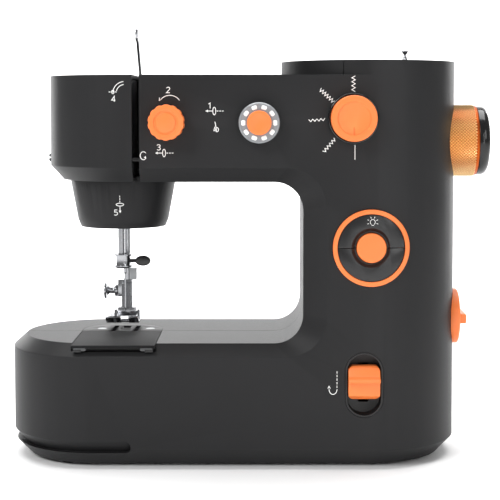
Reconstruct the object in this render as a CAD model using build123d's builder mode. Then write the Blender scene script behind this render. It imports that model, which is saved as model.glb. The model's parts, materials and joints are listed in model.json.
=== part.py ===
"""Compact free-arm sewing machine: casing shells, controls, drive, needle and hook mechanisms.

Frame: X along the bed towards the hand wheel, Y towards the rear, Z up.
The origin is the centre of the footprint, on the surface the feet stand on.
"""

import os
from math import atan, cos, degrees, hypot, pi, radians, sin, sqrt

from build123d import *

os.makedirs("parts", exist_ok=True)

# ---------------------------------------------------------------- driving dimensions (mm)
OVERALL_LENGTH = 302.6          # left end of the bed to the end of the hand wheel
BODY_R = 55.0                   # radius of the round ends, half the depth of the body
CONTROL_REACH = 12.0            # how far the front controls stand out of the face
WALL = 2.5                      # casing wall
SEAM = 0.15                     # half of the parting line between two shells
GAP = 0.3                       # clearance between pieces that move past each other
RUN = 0.05                      # radial running clearance of a shaft in its bearing

BED_LEFT = -OVERALL_LENGTH / 2
WHEEL_END = OVERALL_LENGTH / 2
MID_Y = CONTROL_REACH / 2
FRONT_Y = MID_Y - BODY_R
REAR_Y = MID_Y + BODY_R
COLUMN_X = 75.1                 # axis of the round column
BED_X = BED_LEFT + BODY_R       # axis of the round end of the bed
ARM_X = -72.0                   # axis of the round end of the arm

FOOT_H = 2.0
SKIRT_Z = 11.6                  # the bed narrows below this height
SKIRT_INSET = 9.0
RIM_Z = 20.0                    # below this the casing has a thick rim
RIM = 11.5
BED_Z = 76.2                    # top of the bed
BED_EDGE_Z = 69.1               # lower edge of its bevel
ARM_UNDER_Z = 174.9
ARM_EDGE_Z = 183.8              # upper edge of the arm's lower bevel
ARM_Z = 239.8                   # top of the arm
COLUMN_Z = 248.8                # top of the round column
BEVEL_Y = 8.0                   # depth of the bevels
THROAT_X = 33.0                 # right wall of the sewing space
THROAT_EDGE_X = 47.0            # where its bevel meets the front face
THROAT_R = 17.5
THROAT_EDGE_R = 24.0
CORNER_X = THROAT_X - THROAT_R   # where the rounded corners of the sewing space begin

NEEDLE_X = -81.0
NEEDLE_Y = FRONT_Y + 60.0
NEEDLE_BAR_X = NEEDLE_X - 2.5
PRESSER_Y = NEEDLE_Y + 12.0
HOOK_Y = NEEDLE_Y - 20.0
SHAFT_Z = 199.0                 # main shaft and hand wheel axis
LOWER_Z = 35.0                  # lower shaft
SLOT_LEFT = -70.0               # take-up slot
SLOT_RIGHT = -65.8
SLOT_X = (SLOT_LEFT + SLOT_RIGHT) / 2

CONE_X = -81.3
CONE_TOP_R = 33.6
CONE_LOW_R = 28.9
CONE_LOW_Z = 149.1
CONE_END_R = 27.0
CONE_END_Z = 144.6
CONE_WALL = 2.0

WHEEL_R = 22.8
TENSION_X, TENSION_Z, TENSION_R = -48.9, 211.2, 10.7
DIAL_X, DIAL_Z, DIAL_R = 6.4, 211.0, 12.3
SELECTOR_X, SELECTOR_Z, SELECTOR_R = 62.8, 213.6, 13.8
BUTTON_X, BUTTON_Z, BUTTON_R = 74.0, 135.5, 23.3
REVERSE_X, REVERSE_Z = 69.9, 52.1
REVERSE_W, REVERSE_H = 22.8, 39.6
SPEED_Z, SPEED_R = 86.1, 17.6
SPOOL_X, SPOOL_R = 99.0, 1.7

COVER_LEFT, COVER_RIGHT = -108.3, -56.7
COVER_X = (COVER_LEFT + COVER_RIGHT) / 2
COVER_REAR_Y = FRONT_Y + 53.3
PLATE_REAR_Y = FRONT_Y + 80.0
PLATE_T = 1.8
BAY_FRONT_Y = FRONT_Y + 7.0     # front wall of the hook bay, behind the finger recess
NOTCH_Z = 71.9                  # bottom of the finger recess under the bobbin cover
DECK_CORNER = 18.0              # radius of the needle plate's arched rear corners

BOSS_R = 4.2                    # screw posts between the front and rear walls
SCREW_R = 1.5
SCREW_HOLE = 24.0               # depth of the screw holes in the front posts
BOSSES = [(-128.0, 40.0), (-20.0, 52.0), (112.0, 40.0), (114.0, 150.0), (-20.0, 228.0), (30.0, 228.0)]
WHEEL_SEAT_X = 121.0            # floor of the hand wheel pocket
SPEED_SEAT_X = 127.0            # floor of the speed knob pocket
GROOVE_RIGHT = -71.9            # right end of the finger groove in the bed's foot
GROOVE_TOP_Z, GROOVE_LOW_Z, GROOVE_DEPTH = 17.0, 10.0, 5.0
LOUVRE_X, LOUVRE_Z, LOUVRE_PITCH = 74.0, 95.0, 6.0
JOINT_X, JOINT_W = 57.0, 0.4     # joint line on the front of the raised column top
SOCKET_XS, SOCKET_Z, SOCKET_R = (40.0, 60.0), 32.0, 5.0
BAR_OPENING = (18.0, 30.0)      # opening in the cone's floor for the two bars
LAMP_X, LAMP_Y, LAMP_R = -96.0, 4.0, 4.5
LEVER_X, LEVER_Z, LEVER_R = -90.0, 162.0, 2.0   # presser lever pivot

FRONT = Plane.XZ.offset(-FRONT_Y)           # the front face, looking out of it
REAR = Plane(origin=(0, REAR_Y, 0), x_dir=(1, 0, 0), z_dir=(0, -1, 0))


def face_plane(depth):
    """A plane parallel to the front face, this far behind it; extrusions come towards the front."""
    return FRONT.offset(-depth)


def side_plane(x):
    """A plane across the shafts at this X; local x is Y and local y is Z, extrusions go to +X."""
    return Plane(origin=(x, 0, 0), x_dir=(0, 1, 0), z_dir=(1, 0, 0))


def stadium(left_x, right_x, radius):
    """A long outline with round ends about two axes, for use inside a sketch."""
    with Locations(((left_x + right_x) / 2, MID_Y)):
        SlotCenterToCenter(right_x - left_x, 2 * radius)


def throat_outline(plane, right_x, low_z, high_z, corner_r):
    """The sewing space's outline on one plane, open to the left."""
    left_x = BED_X
    with BuildSketch(plane) as outline:
        with Locations(((left_x + right_x) / 2, (low_z + high_z) / 2)):
            Rectangle(right_x - left_x, high_z - low_z)
        fillet(outline.vertices().group_by(Axis.X)[-1], corner_r)
    return outline.sketch


def casing_form(inset, floor_z):
    """The casing's whole outline as one solid, with every face moved in by inset."""
    radius = BODY_R - inset
    front = FRONT_Y + inset
    with BuildPart() as form:
        with BuildSketch(Plane.XY.offset(floor_z)):
            stadium(BED_X, COLUMN_X, radius)
        extrude(amount=BED_EDGE_Z - inset - floor_z)
        with BuildSketch(Plane.XY.offset(BED_EDGE_Z - inset)):
            stadium(BED_X, COLUMN_X, radius)
        extrude(amount=BED_Z - BED_EDGE_Z, taper=degrees(atan(BEVEL_Y / (BED_Z - BED_EDGE_Z))))
        with BuildSketch(Plane.XY.offset(BED_EDGE_Z - inset)):
            stadium(CORNER_X, COLUMN_X, radius)
            with Locations((CORNER_X - BODY_R, MID_Y)):
                Rectangle(2 * BODY_R, 4 * BODY_R, mode=Mode.SUBTRACT)
        extrude(amount=ARM_EDGE_Z - BED_EDGE_Z + 2 * inset)
        with BuildSketch(Plane.XY.offset(ARM_EDGE_Z + inset)):
            stadium(ARM_X, COLUMN_X, radius)
        extrude(amount=ARM_Z - ARM_EDGE_Z - 2 * inset)
        with BuildSketch(Plane.XY.offset(ARM_EDGE_Z + inset)):
            stadium(ARM_X, COLUMN_X, radius)
        drop = ARM_EDGE_Z - ARM_UNDER_Z
        extrude(amount=-drop, taper=degrees(atan(BEVEL_Y / drop)))
        with BuildSketch(Plane.XY.offset(ARM_EDGE_Z)):
            with Locations((COLUMN_X, MID_Y)):
                Circle(radius)
        extrude(amount=COLUMN_Z - inset - ARM_EDGE_Z)
        # the sewing space: a straight opening, widened by a bevel at the front and at the rear
        wall_x = THROAT_X + inset
        low_z, high_z = BED_Z - inset, ARM_UNDER_Z + inset
        inner = throat_outline(Plane.XZ.offset(-front - BEVEL_Y), wall_x, low_z, high_z,
                               THROAT_R + inset)
        outer = throat_outline(Plane.XZ.offset(-front), THROAT_EDGE_X + inset,
                               BED_EDGE_Z - inset, ARM_EDGE_Z + inset, THROAT_EDGE_R + inset)
        extrude(inner, amount=-2 * (radius - BEVEL_Y), mode=Mode.SUBTRACT)
        with BuildPart(mode=Mode.PRIVATE) as wedge:
            loft([inner, outer])
        add(wedge.part, mode=Mode.SUBTRACT)
        add(wedge.part.mirror(Plane.XZ.offset(-MID_Y)), mode=Mode.SUBTRACT)
    return form.part


def pill(plane, x, z, width, height):
    """An upright slot outline centred at x, z on a plane parallel to the front face."""
    with BuildSketch(plane) as outline:
        with Locations((x, z)):
            SlotOverall(height, width, rotation=90)
    return outline.sketch


def deck_outline(plane, shrink, front_y):
    """The bobbin cover and needle plate outline: straight sides and an arched rear end."""
    width = COVER_RIGHT - COVER_LEFT - 2 * shrink
    depth = PLATE_REAR_Y - shrink - front_y
    with BuildSketch(plane) as outline:
        with Locations((COVER_X, front_y + depth / 2)):
            Rectangle(width, depth)
        fillet(outline.vertices().group_by(Axis.Y)[-1], DECK_CORNER - shrink)
    return outline.sketch


# ---------------------------------------------------------------- casing block, cut into shells below
with BuildPart() as casing:
    add(casing_form(0, SKIRT_Z))
    with BuildSketch(Plane.XY.offset(SKIRT_Z)):
        stadium(BED_X, COLUMN_X, BODY_R)
    extrude(amount=FOOT_H - SKIRT_Z, taper=degrees(atan(SKIRT_INSET / (SKIRT_Z - FOOT_H))))
    # hollow, with a thick rim at the foot
    add(casing_form(WALL, RIM_Z), mode=Mode.SUBTRACT)
    with BuildSketch(Plane.XY.offset(FOOT_H)):
        stadium(BED_X, COLUMN_X, BODY_R - RIM)
    extrude(amount=RIM_Z - FOOT_H + WALL, mode=Mode.SUBTRACT)
    # seats for the hand wheel and the speed knob, with their pockets cut from outside
    for seat_x, seat_z, seat_r, floor_x in ((WHEEL_SEAT_X, SHAFT_Z, WHEEL_R, WHEEL_SEAT_X),
                                            (SPEED_SEAT_X, SPEED_Z, SPEED_R, SPEED_SEAT_X)):
        with BuildSketch(side_plane(floor_x - WALL)):
            with Locations((MID_Y, seat_z)):
                Circle(seat_r + GAP + WALL)
        extrude(until=Until.NEXT)
        with BuildSketch(side_plane(floor_x)):
            with Locations((MID_Y, seat_z)):
                Circle(seat_r + GAP)
        extrude(amount=WHEEL_END - floor_x, mode=Mode.SUBTRACT)
        with BuildSketch(side_plane(floor_x - 2 * WALL)):
            with Locations((MID_Y, seat_z)):
                Circle(3.0 + GAP)
        extrude(amount=3 * WALL, mode=Mode.SUBTRACT)
    # screw posts between the front and rear walls
    with BuildPart(mode=Mode.PRIVATE) as posts:
        with BuildSketch(FRONT.offset(-WALL)):
            with Locations(*BOSSES):
                Circle(BOSS_R)
        extrude(amount=-2 * BODY_R + 2 * WALL)
        with BuildSketch(Plane.XY):
            stadium(BED_X, COLUMN_X, BODY_R - WALL / 2)
        extrude(amount=COLUMN_Z, mode=Mode.INTERSECT)
    add(posts.part)
    # finger groove round the left end of the foot
    with BuildPart(mode=Mode.PRIVATE) as groove:
        with BuildSketch(Plane.XY.offset(GROOVE_LOW_Z)):
            stadium(BED_X, COLUMN_X, BODY_R + 1)
        extrude(amount=GROOVE_TOP_Z - GROOVE_LOW_Z)
        with BuildSketch(Plane.XY.offset(GROOVE_TOP_Z)):
            stadium(BED_X, COLUMN_X, BODY_R)
        slope = degrees(atan(GROOVE_DEPTH / (GROOVE_TOP_Z - GROOVE_LOW_Z)))
        extrude(amount=GROOVE_LOW_Z - GROOVE_TOP_Z, taper=slope, mode=Mode.SUBTRACT)
        end_r = (GROOVE_TOP_Z - GROOVE_LOW_Z) / 2
        with BuildSketch(Plane.XZ.offset(-REAR_Y - 2)):
            with Locations(((GROOVE_RIGHT + 2 * BED_LEFT) / 2 - end_r, GROOVE_LOW_Z + end_r)):
                SlotOverall(GROOVE_RIGHT - 2 * BED_LEFT + 2 * end_r, 2 * end_r)
        extrude(amount=2 * BODY_R + 4, mode=Mode.INTERSECT)
    add(groove.part, mode=Mode.SUBTRACT)
    # front controls
    with BuildSketch(FRONT):
        with Locations((TENSION_X, TENSION_Z), (DIAL_X, DIAL_Z), (SELECTOR_X, SELECTOR_Z)):
            Circle(4.0 + GAP)
    extrude(amount=-2 * WALL, mode=Mode.SUBTRACT)
    with BuildSketch(FRONT):
        with Locations((BUTTON_X, BUTTON_Z)):
            Circle(BUTTON_R + SEAM)
    extrude(amount=-4 * WALL, mode=Mode.SUBTRACT)
    extrude(pill(FRONT, REVERSE_X, REVERSE_Z, REVERSE_W + 2 * SEAM, REVERSE_H + 2 * SEAM),
            amount=-2 * WALL, mode=Mode.SUBTRACT)
    # bobbin cover and needle plate opening, with the finger recess under its front edge
    extrude(deck_outline(Plane.XY.offset(BED_Z + 1), 0, BAY_FRONT_Y - SEAM),
            amount=-1 - 3 * WALL, mode=Mode.SUBTRACT)
    with Locations((COVER_X, FRONT_Y + BODY_R / 4, BED_Z)):
        Box(COVER_RIGHT - COVER_LEFT, BODY_R, 2 * (BED_Z - NOTCH_Z), mode=Mode.SUBTRACT)
    # pocket for the side thread cutter
    with Locations((ARM_X - BODY_R + 1.6, MID_Y, ARM_EDGE_Z + 4.4)):
        Box(6.2, 6.0, 5.0, mode=Mode.SUBTRACT)
    # needle cone opening in the head's underside
    with Locations((CONE_X, MID_Y, ARM_UNDER_Z)):
        Cylinder(CONE_LOW_R - CONE_WALL, 4 * WALL, mode=Mode.SUBTRACT)
    # take-up slot: open in front, and on top as far back as the lever stands
    with Locations((SLOT_X, FRONT_Y, (ARM_UNDER_Z + ARM_Z) / 2)):
        Box(SLOT_RIGHT - SLOT_LEFT, 48, ARM_Z - ARM_UNDER_Z + 2, mode=Mode.SUBTRACT)
    with Locations((SLOT_X, FRONT_Y, ARM_Z)):
        Box(SLOT_RIGHT - SLOT_LEFT, 96, 4 * WALL, mode=Mode.SUBTRACT)
    # joint line on the raised column top, spool pin hole and rear sockets
    with Locations((JOINT_X, MID_Y - sqrt(BODY_R**2 - (COLUMN_X - JOINT_X) ** 2), ARM_Z)):
        Box(JOINT_W, 2 * JOINT_W, COLUMN_Z - ARM_Z + 1, align=(Align.CENTER, Align.CENTER, Align.MIN),
            mode=Mode.SUBTRACT)
    with Locations((SPOOL_X, MID_Y, COLUMN_Z)):
        Cylinder(SPOOL_R + RUN, 4 * WALL, mode=Mode.SUBTRACT)
    with BuildSketch(REAR.offset(-2 * WALL)):
        with Locations((SOCKET_XS[0], SOCKET_Z), (SOCKET_XS[1], SOCKET_Z)):
            Circle(SOCKET_R)
    extrude(amount=4 * WALL, mode=Mode.SUBTRACT, both=True)

# ---------------------------------------------------------------- shells, split from the casing block
def screw_seat(x):
    """Where the head of a rear screw rests: the same depth under the skin on the flat and the round part."""
    aside = max(0.0, BED_X - x, x - COLUMN_X)
    return MID_Y + sqrt(BODY_R**2 - aside**2) - 3 * WALL


TALL = 2 * COLUMN_Z

with BuildPart() as front_shell:
    add(casing.part)
    with Locations((0, MID_Y - SEAM, ARM_Z / 2)):
        Box(2 * OVERALL_LENGTH, TALL, TALL, align=(Align.CENTER, Align.MAX, Align.CENTER),
            mode=Mode.INTERSECT)
    with Locations((SLOT_LEFT + SEAM, MID_Y, ARM_UNDER_Z - 1)):
        Box(TALL, TALL, TALL, align=(Align.MAX, Align.CENTER, Align.MIN), mode=Mode.SUBTRACT)
    with BuildSketch(face_plane(BODY_R)):
        with Locations(*BOSSES):
            Circle(SCREW_R)
    extrude(amount=SCREW_HOLE, mode=Mode.SUBTRACT)
front_shell.part.label = "front_shell"
export_step(front_shell.part, "parts/front_shell.step")

with BuildPart() as rear_shell:
    add(casing.part)
    with Locations((0, MID_Y + SEAM, ARM_Z / 2)):
        Box(2 * OVERALL_LENGTH, TALL, TALL, align=(Align.CENTER, Align.MIN, Align.CENTER),
            mode=Mode.INTERSECT)
    with Locations((SLOT_LEFT + SEAM, MID_Y, ARM_UNDER_Z - 1)):
        Box(TALL, TALL, TALL, align=(Align.MAX, Align.CENTER, Align.MIN), mode=Mode.SUBTRACT)
    with BuildSketch(REAR):
        with Locations(*BOSSES):
            Circle(SCREW_R + GAP)
    extrude(amount=BODY_R, mode=Mode.SUBTRACT)
    for boss in BOSSES:
        with BuildSketch(Plane.XZ.offset(-screw_seat(boss[0]))):
            with Locations(boss):
                Circle(2 * SCREW_R + GAP)
        extrude(amount=screw_seat(boss[0]) - REAR_Y, mode=Mode.SUBTRACT)
    # louvres behind the motor
    with BuildSketch(REAR.offset(-2 * WALL)):
        with Locations((LOUVRE_X, LOUVRE_Z)):
            with GridLocations(0, LOUVRE_PITCH, 1, 6):
                SlotOverall(36.0, 2.4)
    extrude(amount=3 * WALL, mode=Mode.SUBTRACT, both=True)
rear_shell.part.label = "rear_shell"
export_step(rear_shell.part, "parts/rear_shell.step")

with BuildPart() as face_cover:
    add(casing.part)
    with Locations((SLOT_LEFT - SEAM, MID_Y, ARM_UNDER_Z - 1)):
        Box(TALL, TALL, TALL, align=(Align.MAX, Align.CENTER, Align.MIN), mode=Mode.INTERSECT)
face_cover.part.label = "face_cover"
export_step(face_cover.part, "parts/face_cover.step")



def upright(x, y):
    """A plane standing on the XZ directions whose local origin is a vertical axis at x, y."""
    return Plane(origin=(x, y, 0), x_dir=(1, 0, 0), z_dir=(0, -1, 0))


def vertical(x, y):
    """A vertical axis at x, y."""
    return Axis((x, y, 0), (0, 0, 1))


with BuildPart() as needle_cone:
    with BuildSketch(upright(CONE_X, MID_Y)):
        with BuildLine():
            Polyline((0, CONE_END_Z), (CONE_END_R, CONE_END_Z), (CONE_LOW_R, CONE_LOW_Z),
                     (CONE_TOP_R, ARM_UNDER_Z), (0, ARM_UNDER_Z), close=True)
        make_face()
    revolve(axis=vertical(CONE_X, MID_Y))
    with BuildSketch(upright(CONE_X, MID_Y)):
        with BuildLine():
            Polyline((0, CONE_END_Z + CONE_WALL), (CONE_END_R - CONE_WALL, CONE_END_Z + CONE_WALL),
                     (CONE_LOW_R - CONE_WALL, CONE_LOW_Z + CONE_WALL),
                     (CONE_TOP_R - CONE_WALL, ARM_UNDER_Z), (0, ARM_UNDER_Z), close=True)
        make_face()
    revolve(axis=vertical(CONE_X, MID_Y), mode=Mode.SUBTRACT)
    with BuildSketch(Plane.XY.offset(CONE_END_Z)):
        with Locations((NEEDLE_X, (NEEDLE_Y + PRESSER_Y) / 2)):
            SlotOverall(BAR_OPENING[1], BAR_OPENING[0], rotation=90)
        with Locations((LAMP_X, LAMP_Y)):
            Circle(LAMP_R)
    extrude(amount=2 * CONE_WALL, mode=Mode.SUBTRACT)
    with Locations((LEVER_X, MID_Y + CONE_TOP_R, LEVER_Z)):
        Box(2 * LEVER_R + 2, CONE_TOP_R, 2 * LEVER_R + 2, mode=Mode.SUBTRACT)
needle_cone.part.label = "needle_cone"
export_step(needle_cone.part, "parts/needle_cone.step")

with BuildPart() as lamp_lens:
    with BuildSketch(Plane.XY.offset(CONE_END_Z - 0.6)):
        with Locations((LAMP_X, LAMP_Y)):
            Circle(LAMP_R)
    extrude(amount=CONE_WALL + 0.6)
    fillet(lamp_lens.faces().sort_by(Axis.Z)[0].edges(), 0.5)
lamp_lens.part.label = "lamp_lens"
export_step(lamp_lens.part, "parts/lamp_lens.step")

# two cheeks line the take-up slot, with a thread guide pin across its lower end
CHEEK_T = 1.2
CHEEK_LOW_Z, CHEEK_TOP_Z = ARM_UNDER_Z + WALL + 1, ARM_Z - WALL - 0.5
CHEEK_FRONT_Y, CHEEK_REAR_Y = FRONT_Y + WALL + BEVEL_Y, FRONT_Y + 37.0
GUIDE_Z = 186.5
with BuildPart() as thread_channel:
    for cheek_x in (SLOT_LEFT - 0.4 - CHEEK_T, SLOT_RIGHT + 0.4):
        with Locations((cheek_x, FRONT_Y + WALL, ARM_EDGE_Z + WALL)):
            Box(CHEEK_T, CHEEK_REAR_Y - FRONT_Y - WALL, CHEEK_TOP_Z - ARM_EDGE_Z - WALL, align=Align.MIN)
        with Locations((cheek_x, CHEEK_FRONT_Y, CHEEK_LOW_Z)):
            Box(CHEEK_T, CHEEK_REAR_Y - CHEEK_FRONT_Y, CHEEK_TOP_Z - CHEEK_LOW_Z, align=Align.MIN)
    with BuildSketch(side_plane(SLOT_LEFT - 0.4 - CHEEK_T)):
        with Locations((FRONT_Y + 6.0, GUIDE_Z + 2), (CHEEK_REAR_Y - 2.0, CHEEK_LOW_Z + 2.0)):
            Circle(1.2)
    extrude(amount=SLOT_RIGHT - SLOT_LEFT + 0.8 + 2 * CHEEK_T)
thread_channel.part.label = "thread_channel"
export_step(thread_channel.part, "parts/thread_channel.step")

# ---------------------------------------------------------------- foot of the machine
PLATE_Z = FOOT_H
FEET = [(x, MID_Y + side * 32.0) for x in (BED_X - 15.0, COLUMN_X + 10.0) for side in (-1, 1)]
PLATE_SCREWS = [(x, MID_Y + side * 30.0) for x in (BED_X + 20.0, COLUMN_X - 25.0) for side in (-1, 1)]

with BuildPart() as base_plate:
    with BuildSketch(Plane.XY.offset(PLATE_Z)):
        stadium(BED_X, COLUMN_X, BODY_R - RIM - SEAM)
    extrude(amount=WALL)
    with Locations(*[(x, y, PLATE_Z + WALL) for x, y in PLATE_SCREWS]):
        Cylinder(BOSS_R, 2 * WALL, align=(Align.CENTER, Align.CENTER, Align.MIN))
    # slots that let warm air in under the motor
    with BuildSketch(Plane.XY.offset(PLATE_Z)):
        with GridLocations(8.0, 0, 6, 1):
            SlotOverall(36.0, 2.4, rotation=90)
    extrude(amount=WALL, mode=Mode.SUBTRACT)
base_plate.part.label = "base_plate"
export_step(base_plate.part, "parts/base_plate.step")

with BuildPart() as rubber_feet:
    with BuildSketch(Plane.XY.offset(FOOT_H)):
        with Locations(*FEET):
            Circle(7.0)
    extrude(amount=-FOOT_H, taper=20)
rubber_feet.part.label = "rubber_feet"
export_step(rubber_feet.part, "parts/rubber_feet.step")

# ---------------------------------------------------------------- shell screws, driven in from the rear
SCREW_HEAD_H, SCREW_BITE = 2.0, 12.0
with BuildPart() as shell_screws:
    for boss in BOSSES:
        seat_y = screw_seat(boss[0])
        with BuildSketch(Plane.XZ.offset(-seat_y)):
            with Locations(boss):
                Circle(2 * SCREW_R)
        extrude(amount=-SCREW_HEAD_H)
        with BuildSketch(Plane.XZ.offset(-seat_y)):
            with Locations(boss):
                Circle(SCREW_R)
        extrude(amount=seat_y - MID_Y + SCREW_BITE)
        with BuildSketch(Plane.XZ.offset(-seat_y - SCREW_HEAD_H)):
            with Locations(boss):
                Rectangle(3.2, 0.7)
                Rectangle(0.7, 3.2)
        extrude(amount=1.2, mode=Mode.SUBTRACT)
shell_screws.part.label = "shell_screws"
export_step(shell_screws.part, "parts/shell_screws.step")

# ---------------------------------------------------------------- needle plate, hook bay, bobbin cover
SLOT_PITCH = 14.2               # between the two feed dog slots
SLOT_W, SLOT_L = 3.0, 26.0
PLATE_SCREW_PITCH = 31.5
BAY_LOW_Z = 54.0
HOOK_R = 18.8
HOOK_TOP_Z = 69.5
COVER_T = 1.5

with BuildPart() as needle_plate:
    extrude(deck_outline(Plane.XY.offset(BED_Z - PLATE_T), SEAM, COVER_REAR_Y), amount=PLATE_T)
    with BuildSketch(Plane.XY.offset(BED_Z - PLATE_T)):
        with Locations((NEEDLE_X, NEEDLE_Y + 3.0)):
            with GridLocations(SLOT_PITCH, 0, 2, 1):
                Rectangle(SLOT_W, SLOT_L - 4.0)
        with Locations((NEEDLE_X, NEEDLE_Y)):
            SlotOverall(7.0, 1.8)
        with Locations((NEEDLE_X, NEEDLE_Y + 9.5)):
            Rectangle(5.2, 9.0)
    extrude(amount=PLATE_T, mode=Mode.SUBTRACT)
    with Locations((NEEDLE_X, COVER_REAR_Y + 11.0, BED_Z)):
        with GridLocations(PLATE_SCREW_PITCH, 0, 2, 1):
            CounterSinkHole(SCREW_R + GAP, 2 * SCREW_R, PLATE_T)
needle_plate.part.label = "needle_plate"
export_step(needle_plate.part, "parts/needle_plate.step")

with BuildPart() as needle_plate_screws:
    with BuildSketch(Plane.XY.offset(BED_Z - 0.1)):
        with Locations((NEEDLE_X, COVER_REAR_Y + 11.0)):
            with GridLocations(PLATE_SCREW_PITCH, 0, 2, 1):
                Circle(2 * SCREW_R - 0.15)
    extrude(amount=-SCREW_R, taper=40)
    with BuildSketch(Plane.XY.offset(BED_Z - 1.0)):
        with Locations((NEEDLE_X, COVER_REAR_Y + 11.0)):
            with GridLocations(PLATE_SCREW_PITCH, 0, 2, 1):
                Circle(SCREW_R - 0.2)
    extrude(amount=-7.0)
    with Locations((NEEDLE_X, COVER_REAR_Y + 11.0, BED_Z)):
        with GridLocations(PLATE_SCREW_PITCH, 0, 2, 1):
            Box(4.2, 0.7, 1.2, mode=Mode.SUBTRACT)
needle_plate_screws.part.label = "needle_plate_screws"
export_step(needle_plate_screws.part, "parts/needle_plate_screws.step")

BAY_TOP_Z = BED_Z - PLATE_T
with BuildPart() as hook_bay:
    extrude(deck_outline(Plane.XY.offset(BAY_LOW_Z), SEAM, BAY_FRONT_Y), amount=BAY_TOP_Z - BAY_LOW_Z)
    extrude(deck_outline(Plane.XY.offset(BAY_LOW_Z + WALL), 3.0, BAY_FRONT_Y + WALL),
            amount=BAY_TOP_Z - BAY_LOW_Z, mode=Mode.SUBTRACT)
    with BuildSketch(Plane.XY.offset(BAY_LOW_Z)):
        with Locations((NEEDLE_X, HOOK_Y)):
            Circle(HOOK_R + 0.8)
        with Locations((NEEDLE_X, PLATE_REAR_Y - 10.0)):
            Rectangle(16.0, 12.0)
    extrude(amount=2 * WALL, mode=Mode.SUBTRACT)
    # posts under the needle plate screws, and two rests beside the finger recess
    with Locations((NEEDLE_X, COVER_REAR_Y + 11.0, BAY_LOW_Z)):
        with GridLocations(PLATE_SCREW_PITCH, 0, 2, 1):
            Cylinder(BOSS_R, BAY_TOP_Z - BAY_LOW_Z, align=(Align.CENTER, Align.CENTER, Align.MIN))
    with Locations((NEEDLE_X, COVER_REAR_Y + 11.0, BAY_TOP_Z)):
        with GridLocations(PLATE_SCREW_PITCH, 0, 2, 1):
            Hole(SCREW_R, 12.0)
    with Locations((COVER_X, BAY_FRONT_Y, NOTCH_Z)):
        with GridLocations(COVER_RIGHT - COVER_LEFT - 8.0, 0, 2, 1):
            Box(5.0, 6.0, 1.6, align=(Align.CENTER, Align.MAX, Align.MIN))
hook_bay.part.label = "hook_bay"
export_step(hook_bay.part, "parts/hook_bay.step")

with BuildPart() as bobbin_cover:
    with BuildSketch(Plane.XY.offset(BED_Z - COVER_T)):
        with Locations((COVER_X, (FRONT_Y + COVER_REAR_Y) / 2)):
            Rectangle(COVER_RIGHT - COVER_LEFT - 2 * GAP, COVER_REAR_Y - FRONT_Y - GAP)
    extrude(amount=COVER_T)
    front_edge = bobbin_cover.faces().sort_by(Axis.Y)[0].edges().sort_by(Axis.Z)[-1]
    fillet(front_edge, 0.7)
bobbin_cover.part.label = "bobbin_cover"
export_step(bobbin_cover.part, "parts/bobbin_cover.step")

# ---------------------------------------------------------------- inner frames and bearings
MAIN_R, LOWER_R = 3.0, 2.5      # shaft radii
BUSH_R = 6.0
PLATE_X, PLATE_W = 97.0, 3.0    # upright frame plate in the column
BEAM_LEFT = -57.0
BEAM_Z, BEAM_H = 180.0, 5.0
MOTOR_Y, MOTOR_Z, MOTOR_R = MID_Y + 31.0, 95.0, 16.0
LEVER_PIVOT_Y, LEVER_PIVOT_Z = FRONT_Y + 85.0, 215.0
BUSH_XS = (-50.0, PLATE_X + PLATE_W / 2)
LOWER_Y = HOOK_Y

with BuildPart() as arm_frame:
    with Locations((BEAM_LEFT, MID_Y - 8.0, BEAM_Z)):
        Box(PLATE_X - BEAM_LEFT + PLATE_W, 16.0, BEAM_H, align=Align.MIN)
    with BuildSketch(side_plane(PLATE_X)):
        with Locations((MID_Y + 19.5, (SHAFT_Z + LOWER_Z) / 2)):
            Rectangle(53.0, SHAFT_Z - LOWER_Z + 26.0)
        with Locations((LOWER_Y, LOWER_Z + 10.0)):
            Rectangle(16.0, 46.0)
        with Locations((MID_Y + 4.0, SHAFT_Z + 8.0)):
            Rectangle(22.0, 16.0)
    extrude(amount=PLATE_W)
    with Locations((BUSH_XS[0] - 4.0, MID_Y - 8.0, BEAM_Z)):
        Box(8.0, 16.0, SHAFT_Z - BEAM_Z + 9.0, align=Align.MIN)
    # pillar that carries the take-up lever's pivot
    with Locations((BEAM_LEFT, MID_Y - 8.0, BEAM_Z)):
        Box(8.0, LEVER_PIVOT_Y - MID_Y + 14.0, BEAM_H, align=Align.MIN)
    with Locations((SLOT_RIGHT + 3.8, LEVER_PIVOT_Y - 6.0, BEAM_Z)):
        Box(BEAM_LEFT + 8.0 - SLOT_RIGHT - 3.8, 12.0, LEVER_PIVOT_Z - BEAM_Z + 6.0, align=Align.MIN)
    with BuildSketch(side_plane(SLOT_LEFT - 1.0)):
        with Locations((LEVER_PIVOT_Y, LEVER_PIVOT_Z)):
            Circle(2.0)
    extrude(amount=SLOT_RIGHT - SLOT_LEFT + 5.0)
    with BuildSketch(side_plane(BEAM_LEFT)):
        with Locations((MID_Y, SHAFT_Z)):
            Circle(BUSH_R)
    extrude(amount=OVERALL_LENGTH, mode=Mode.SUBTRACT)
    with BuildSketch(side_plane(PLATE_X)):
        with Locations((LOWER_Y, LOWER_Z)):
            Circle(BUSH_R)
        with Locations((MOTOR_Y, MOTOR_Z)):
            Circle(4.0)
    extrude(amount=PLATE_W, mode=Mode.SUBTRACT)
arm_frame.part.label = "arm_frame"
export_step(arm_frame.part, "parts/arm_frame.step")

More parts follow.
